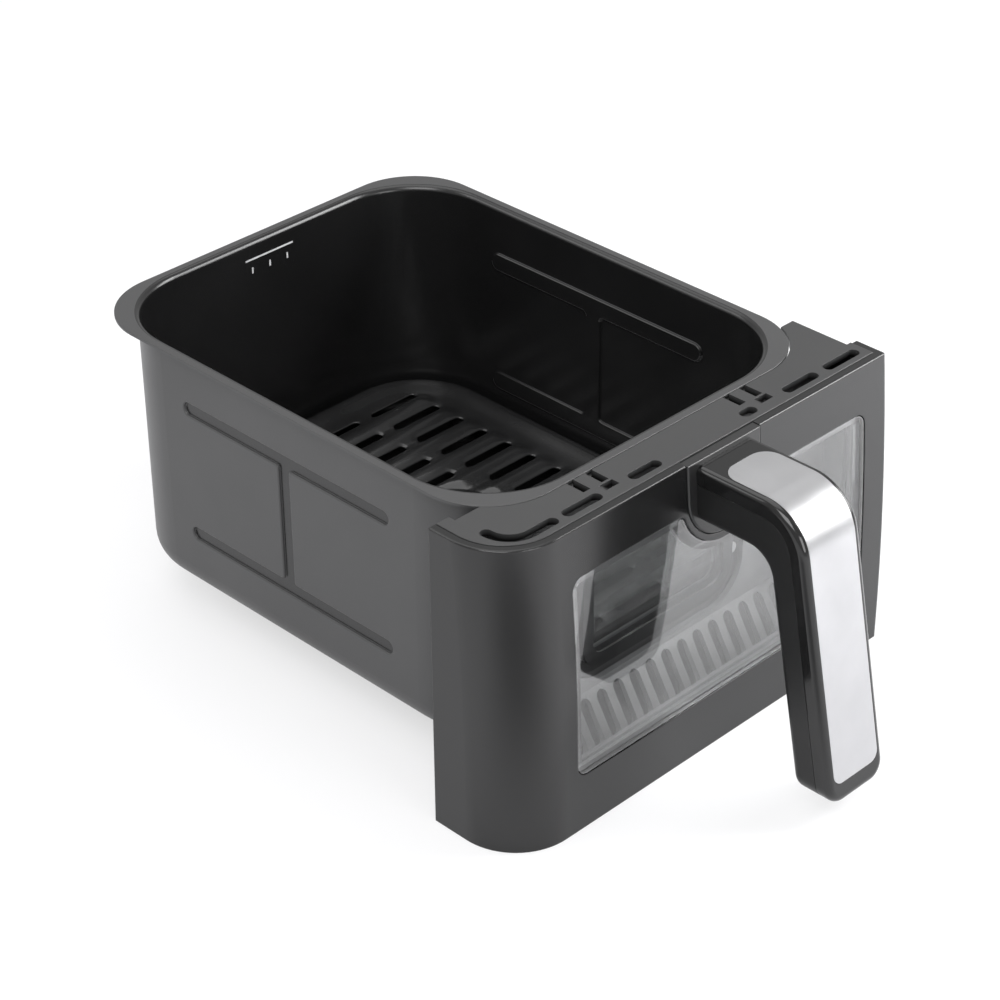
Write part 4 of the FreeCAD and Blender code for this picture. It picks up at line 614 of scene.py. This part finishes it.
def plate_points(places):
    """Points of the crisper seen from above, and the pairs of them that its outlines join."""
    points = []
    fixed = []

    def fix(loop):
        first = len(points)
        points.extend(loop)
        count = len(loop)
        fixed.extend((first + step, first + (step + 1) % count) for step in range(count))

    def ring(inset):
        half = [each - inset for each in CRISPER_HALF]
        return rounded_loop(half, CRISPER_CORNER - inset, *OUTLINE_POINTS)

    fix(ring(0.0))
    for across, along in places:
        loop = rounded_loop((SLOT_HALF, SLOT_THIN), SLOT_THIN * SLOT_ROUND, *SLOT_POINTS)
        fix([point + Vector((across, along)) for point in loop])
        for grow in SLOT_GROWTH:
            half = (SLOT_HALF + grow, SLOT_THIN + grow)
            loop = rounded_loop(half, SLOT_THIN + grow * SLOT_ROUND, *SLOT_POINTS)
            points.extend(point + Vector((across, along)) for point in loop)
    for inset in BORDER_RINGS:
        points.extend(ring(inset))
    for radius in MOAT_RINGS + DOME_RINGS:
        count = FINE_COUNT if radius > FINE_RING else COARSE_COUNT
        for step in range(count):
            angle = 2.0 * math.pi * step / count
            point = radius * Vector((math.cos(angle), math.sin(angle)))
            if radius < MOAT_INNER or slot_reach(point.x, point.y, places) > MOAT_CLEARANCE:
                points.append(point)
    points.append(Vector((0.0, 0.0)))
    for row in range(-GRID_ROWS, GRID_ROWS + 1):
        y = row * ROW_PITCH / GRID_PER_PITCH
        for column in range(-GRID_COLUMNS, GRID_COLUMNS + 1):
            x = column * GRID_STEP + (GRID_STAGGER if row % 2 else -GRID_STAGGER)
            clear = plate_inset(x, y) > GRID_BORDER and math.hypot(x, y) > GRID_START
            if clear and slot_reach(x, y, places) > GRID_CLEARANCE:
                points.append(Vector((x, y)))
    return points, fixed


def add_skirt(mesh):
    """The crisper's outer edge, drawn down."""

    def on_rim(vertex):
        return plate_inset(vertex.co.x / MM, vertex.co.y / MM) < RIM_NEAR

    rim = [list(edge.verts) for edge in mesh.edges if edge.is_boundary]
    rim = [pair for pair in rim if all(on_rim(vertex) for vertex in pair)]
    low = (CRISPER_TOP - CRISPER_SKIRT) * MM
    lower = {}
    for vertex in [vertex for pair in rim for vertex in pair]:
        if vertex not in lower:
            lower[vertex] = mesh.verts.new((vertex.co.x, vertex.co.y, low))
    for first, second in rim:
        mesh.faces.new([first, second, lower[second], lower[first]])


def add_underside(mesh):
    """The sheet's other face, joined to the first round its open edges."""
    outer_faces = list(mesh.faces)
    open_edges = [list(edge.verts) for edge in mesh.edges if edge.is_boundary]
    under = {}
    for vertex in list(mesh.verts):
        under[vertex] = mesh.verts.new(vertex.co - vertex.normal * CRISPER_SHEET * MM)
    for face in outer_faces:
        mesh.faces.new([under[vertex] for vertex in reversed(face.verts)])
    for first, second in open_edges:
        mesh.faces.new([first, second, under[second], under[first]])


def finished_mesh(name, mesh):
    data = bpy.data.meshes.new(name)
    mesh.to_mesh(data)
    mesh.free()
    return data


def crisper_surface():
    """Pressed plate with ribs between its rows of slots, as one closed mesh."""
    places = slot_places()
    points, fixed = plate_points(places)
    flat, _, faces = delaunay_2d_cdt(points, fixed, [], 0, SAME_POINT)[:3]
    mesh = bmesh.new()
    top = []
    for x, y in flat:
        z = CRISPER_TOP + plate_height(x, y, places)
        top.append(mesh.verts.new((x * MM, y * MM, z * MM)))
    for face in faces:
        x = sum(flat[index][0] for index in face) / len(face)
        y = sum(flat[index][1] for index in face) / len(face)
        if plate_inset(x, y) > 0.0 and slot_reach(x, y, places) > 0.0:
            mesh.faces.new([top[index] for index in face])
    add_skirt(mesh)
    loose = [vertex for vertex in mesh.verts if not vertex.link_faces]
    bmesh.ops.delete(mesh, geom=loose, context="VERTS")
    bmesh.ops.recalc_face_normals(mesh, faces=mesh.faces)
    mesh.normal_update()
    if sum(face.normal.z for face in mesh.faces) < 0.0:
        bmesh.ops.reverse_faces(mesh, faces=mesh.faces)
        mesh.normal_update()
    add_underside(mesh)
    bmesh.ops.recalc_face_normals(mesh, faces=mesh.faces)
    for face in mesh.faces:
        face.smooth = True
    return finished_mesh("crisper_pressing", mesh)


def box_mesh(name, boxes):
    """Boxes, each given by two opposite corners in millimetres, as one mesh."""
    mesh = bmesh.new()
    for low, high in boxes:
        middle = (Vector(low) + Vector(high)) * 0.5 * MM
        extent = (Vector(high) - Vector(low)) * MM
        shift = Matrix.Translation(middle) @ Matrix.Diagonal(extent).to_4x4()
        bmesh.ops.create_cube(mesh, size=1.0, matrix=shift)
    return finished_mesh(name, mesh)


def mark_box(left, right, heights):
    return ((left, MARK_FACE, heights[0]), (right, MARK_BACK, heights[1]))


def add_piece(name, data, look, body):
    thing = bpy.data.objects.new(name, data)
    scene.collection.objects.link(thing)
    data.materials.append(look)
    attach(thing, body)
    return thing


crisper = add_piece("crisper_pressing", crisper_surface(), CRISPER, "crisper")
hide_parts("crisper_plate")

marks = [mark_box(*LINE_ENDS, LINE_HEIGHTS)]
for tick in TICKS:
    marks.append(mark_box(tick - TICK_HALF, tick + TICK_HALF, TICK_HEIGHTS))
add_piece("fill_marks", box_mesh("fill_marks", marks), mark_ink(), "drawer")


def ground_look():
    """Pale floor that shows as white far away and keeps the part's shadow."""
    tree = material_nodes("ground")
    path = tree.add("ShaderNodeLightPath").outputs
    mirrored = tree.math("MULTIPLY", path["Is Glossy Ray"], FLOOR_MIRRORED)
    seen = tree.math("MAXIMUM", mirrored, path["Is Transmission Ray"])
    seen = tree.math("MAXIMUM", path["Is Camera Ray"], seen)
    # Through the pane, the floor right under the door is painted dark as deep shade.
    place = tree.split(tree.place("Object"))
    under_x = tree.math("SUBTRACT", place[0], UNDER_MIDDLE[0])
    under_y = tree.math("SUBTRACT", place[1], UNDER_MIDDLE[1])
    reach = tree.reach(under_x, under_y, UNDER_HALF, UNDER_CORNER)
    under = tree.span(reach, UNDER_BLUR, 1.0, 0.0, smooth=True)
    through = tree.math("MINIMUM", path["Transparent Depth"], 1.0)
    under = tree.math("MULTIPLY", under, through)
    seen = tree.math("MULTIPLY", seen, tree.math("SUBTRACT", 1.0, under))
    pale = tree.mix(tree.noise(scale=3.0), grey(FLOOR_TONES[0]), grey(FLOOR_TONES[1]))
    shaded = tree.mix(under, pale, grey(UNDER_PAINTED_SHADE))
    matt = tree.shader("ShaderNodeBsdfDiffuse", Color=shaded)
    glow = tree.shader("ShaderNodeEmission", Color=WHITE, Strength=1.0)
    away = tree.vector("LENGTH", tree.place("Object"))
    glow_share = tree.math("MULTIPLY", seen, tree.span(away, FLOOR_GLOW_REACH, *FLOOR_GLOW))
    lit = tree.blend(glow_share, matt, glow)
    # Painted shade on the floor in front of the rounded corner, seen only in reflections, so the
    # mirrored floor falls off there.
    from_corner = tree.vector("SUBTRACT", tree.place("Object"), CORNER_PLACE)
    from_corner = tree.vector("LENGTH", from_corner)
    falloff = tree.span(from_corner, CORNER_REACH, CORNER_PAINTED_SHADE, 0.0, smooth=True)
    painted_shade = tree.shader("ShaderNodeBsdfDiffuse", Color=grey(CORNER_PAINTED_SHADE_TONE))
    painted_shade_share = tree.math("MULTIPLY", path["Is Glossy Ray"], falloff)
    return tree.surface(tree.blend(painted_shade_share, lit, painted_shade))


bpy.ops.mesh.primitive_circle_add(
    vertices=FLOOR_POINTS, radius=FLOOR_RADIUS, fill_type="NGON", location=(0.0, 0.0, FLOOR_LEVEL)
)
ground = bpy.context.object
ground.name = "ground"
ground.data.materials.append(ground_look())


def room_look():
    """White room that lights the part at a lower level than it shows."""
    tree = Nodes(bpy.data.worlds.new("room"), "ShaderNodeOutputWorld")
    path = tree.add("ShaderNodeLightPath").outputs
    mirrored = tree.math("MULTIPLY", path["Is Glossy Ray"], ROOM_MIRRORED)
    seen = tree.math("ADD", mirrored, path["Is Transmission Ray"])
    seen = tree.math("MAXIMUM", path["Is Camera Ray"], seen)
    dim = tree.shader("ShaderNodeBackground", Color=WHITE, Strength=ROOM_LIGHT)
    white = tree.shader("ShaderNodeBackground", Color=WHITE, Strength=1.0)
    return tree.surface(tree.blend(seen, dim, white))


scene.world = room_look()


def softbox(name, place, target, size, power):
    data = bpy.data.lights.new(name, "AREA")
    data.shape = "RECTANGLE"
    data.size = size[0]
    data.size_y = size[1]
    data.energy = power
    lamp = bpy.data.objects.new(name, data)
    scene.collection.objects.link(lamp)
    lamp.location = place
    facing = Vector(target) - Vector(place)
    lamp.rotation_euler = facing.to_track_quat("-Z", "Y").to_euler()


for lamp in LAMPS:
    softbox(*lamp)

camera_data = bpy.data.cameras.new("view")
camera_data.sensor_width = SENSOR_WIDTH
camera_data.lens = VIEW_FOCAL * SENSOR_WIDTH
camera = bpy.data.objects.new("view", camera_data)
scene.collection.objects.link(camera)
back = Vector(
    (
        math.sin(VIEW_AZIMUTH) * math.cos(VIEW_ELEVATION),
        -math.cos(VIEW_AZIMUTH) * math.cos(VIEW_ELEVATION),
        math.sin(VIEW_ELEVATION),
    )
)
level = Vector((math.cos(VIEW_AZIMUTH), math.sin(VIEW_AZIMUTH), 0.0))
upright = back.cross(level)
right = level * math.cos(VIEW_ROLL) + upright * math.sin(VIEW_ROLL)
upright = upright * math.cos(VIEW_ROLL) - level * math.sin(VIEW_ROLL)
turn = Matrix((right, upright, back)).transposed().to_4x4()
camera.matrix_world = Matrix.Translation(VIEW_PLACE) @ turn
scene.camera = camera
scene.view_settings.view_transform = "Standard"
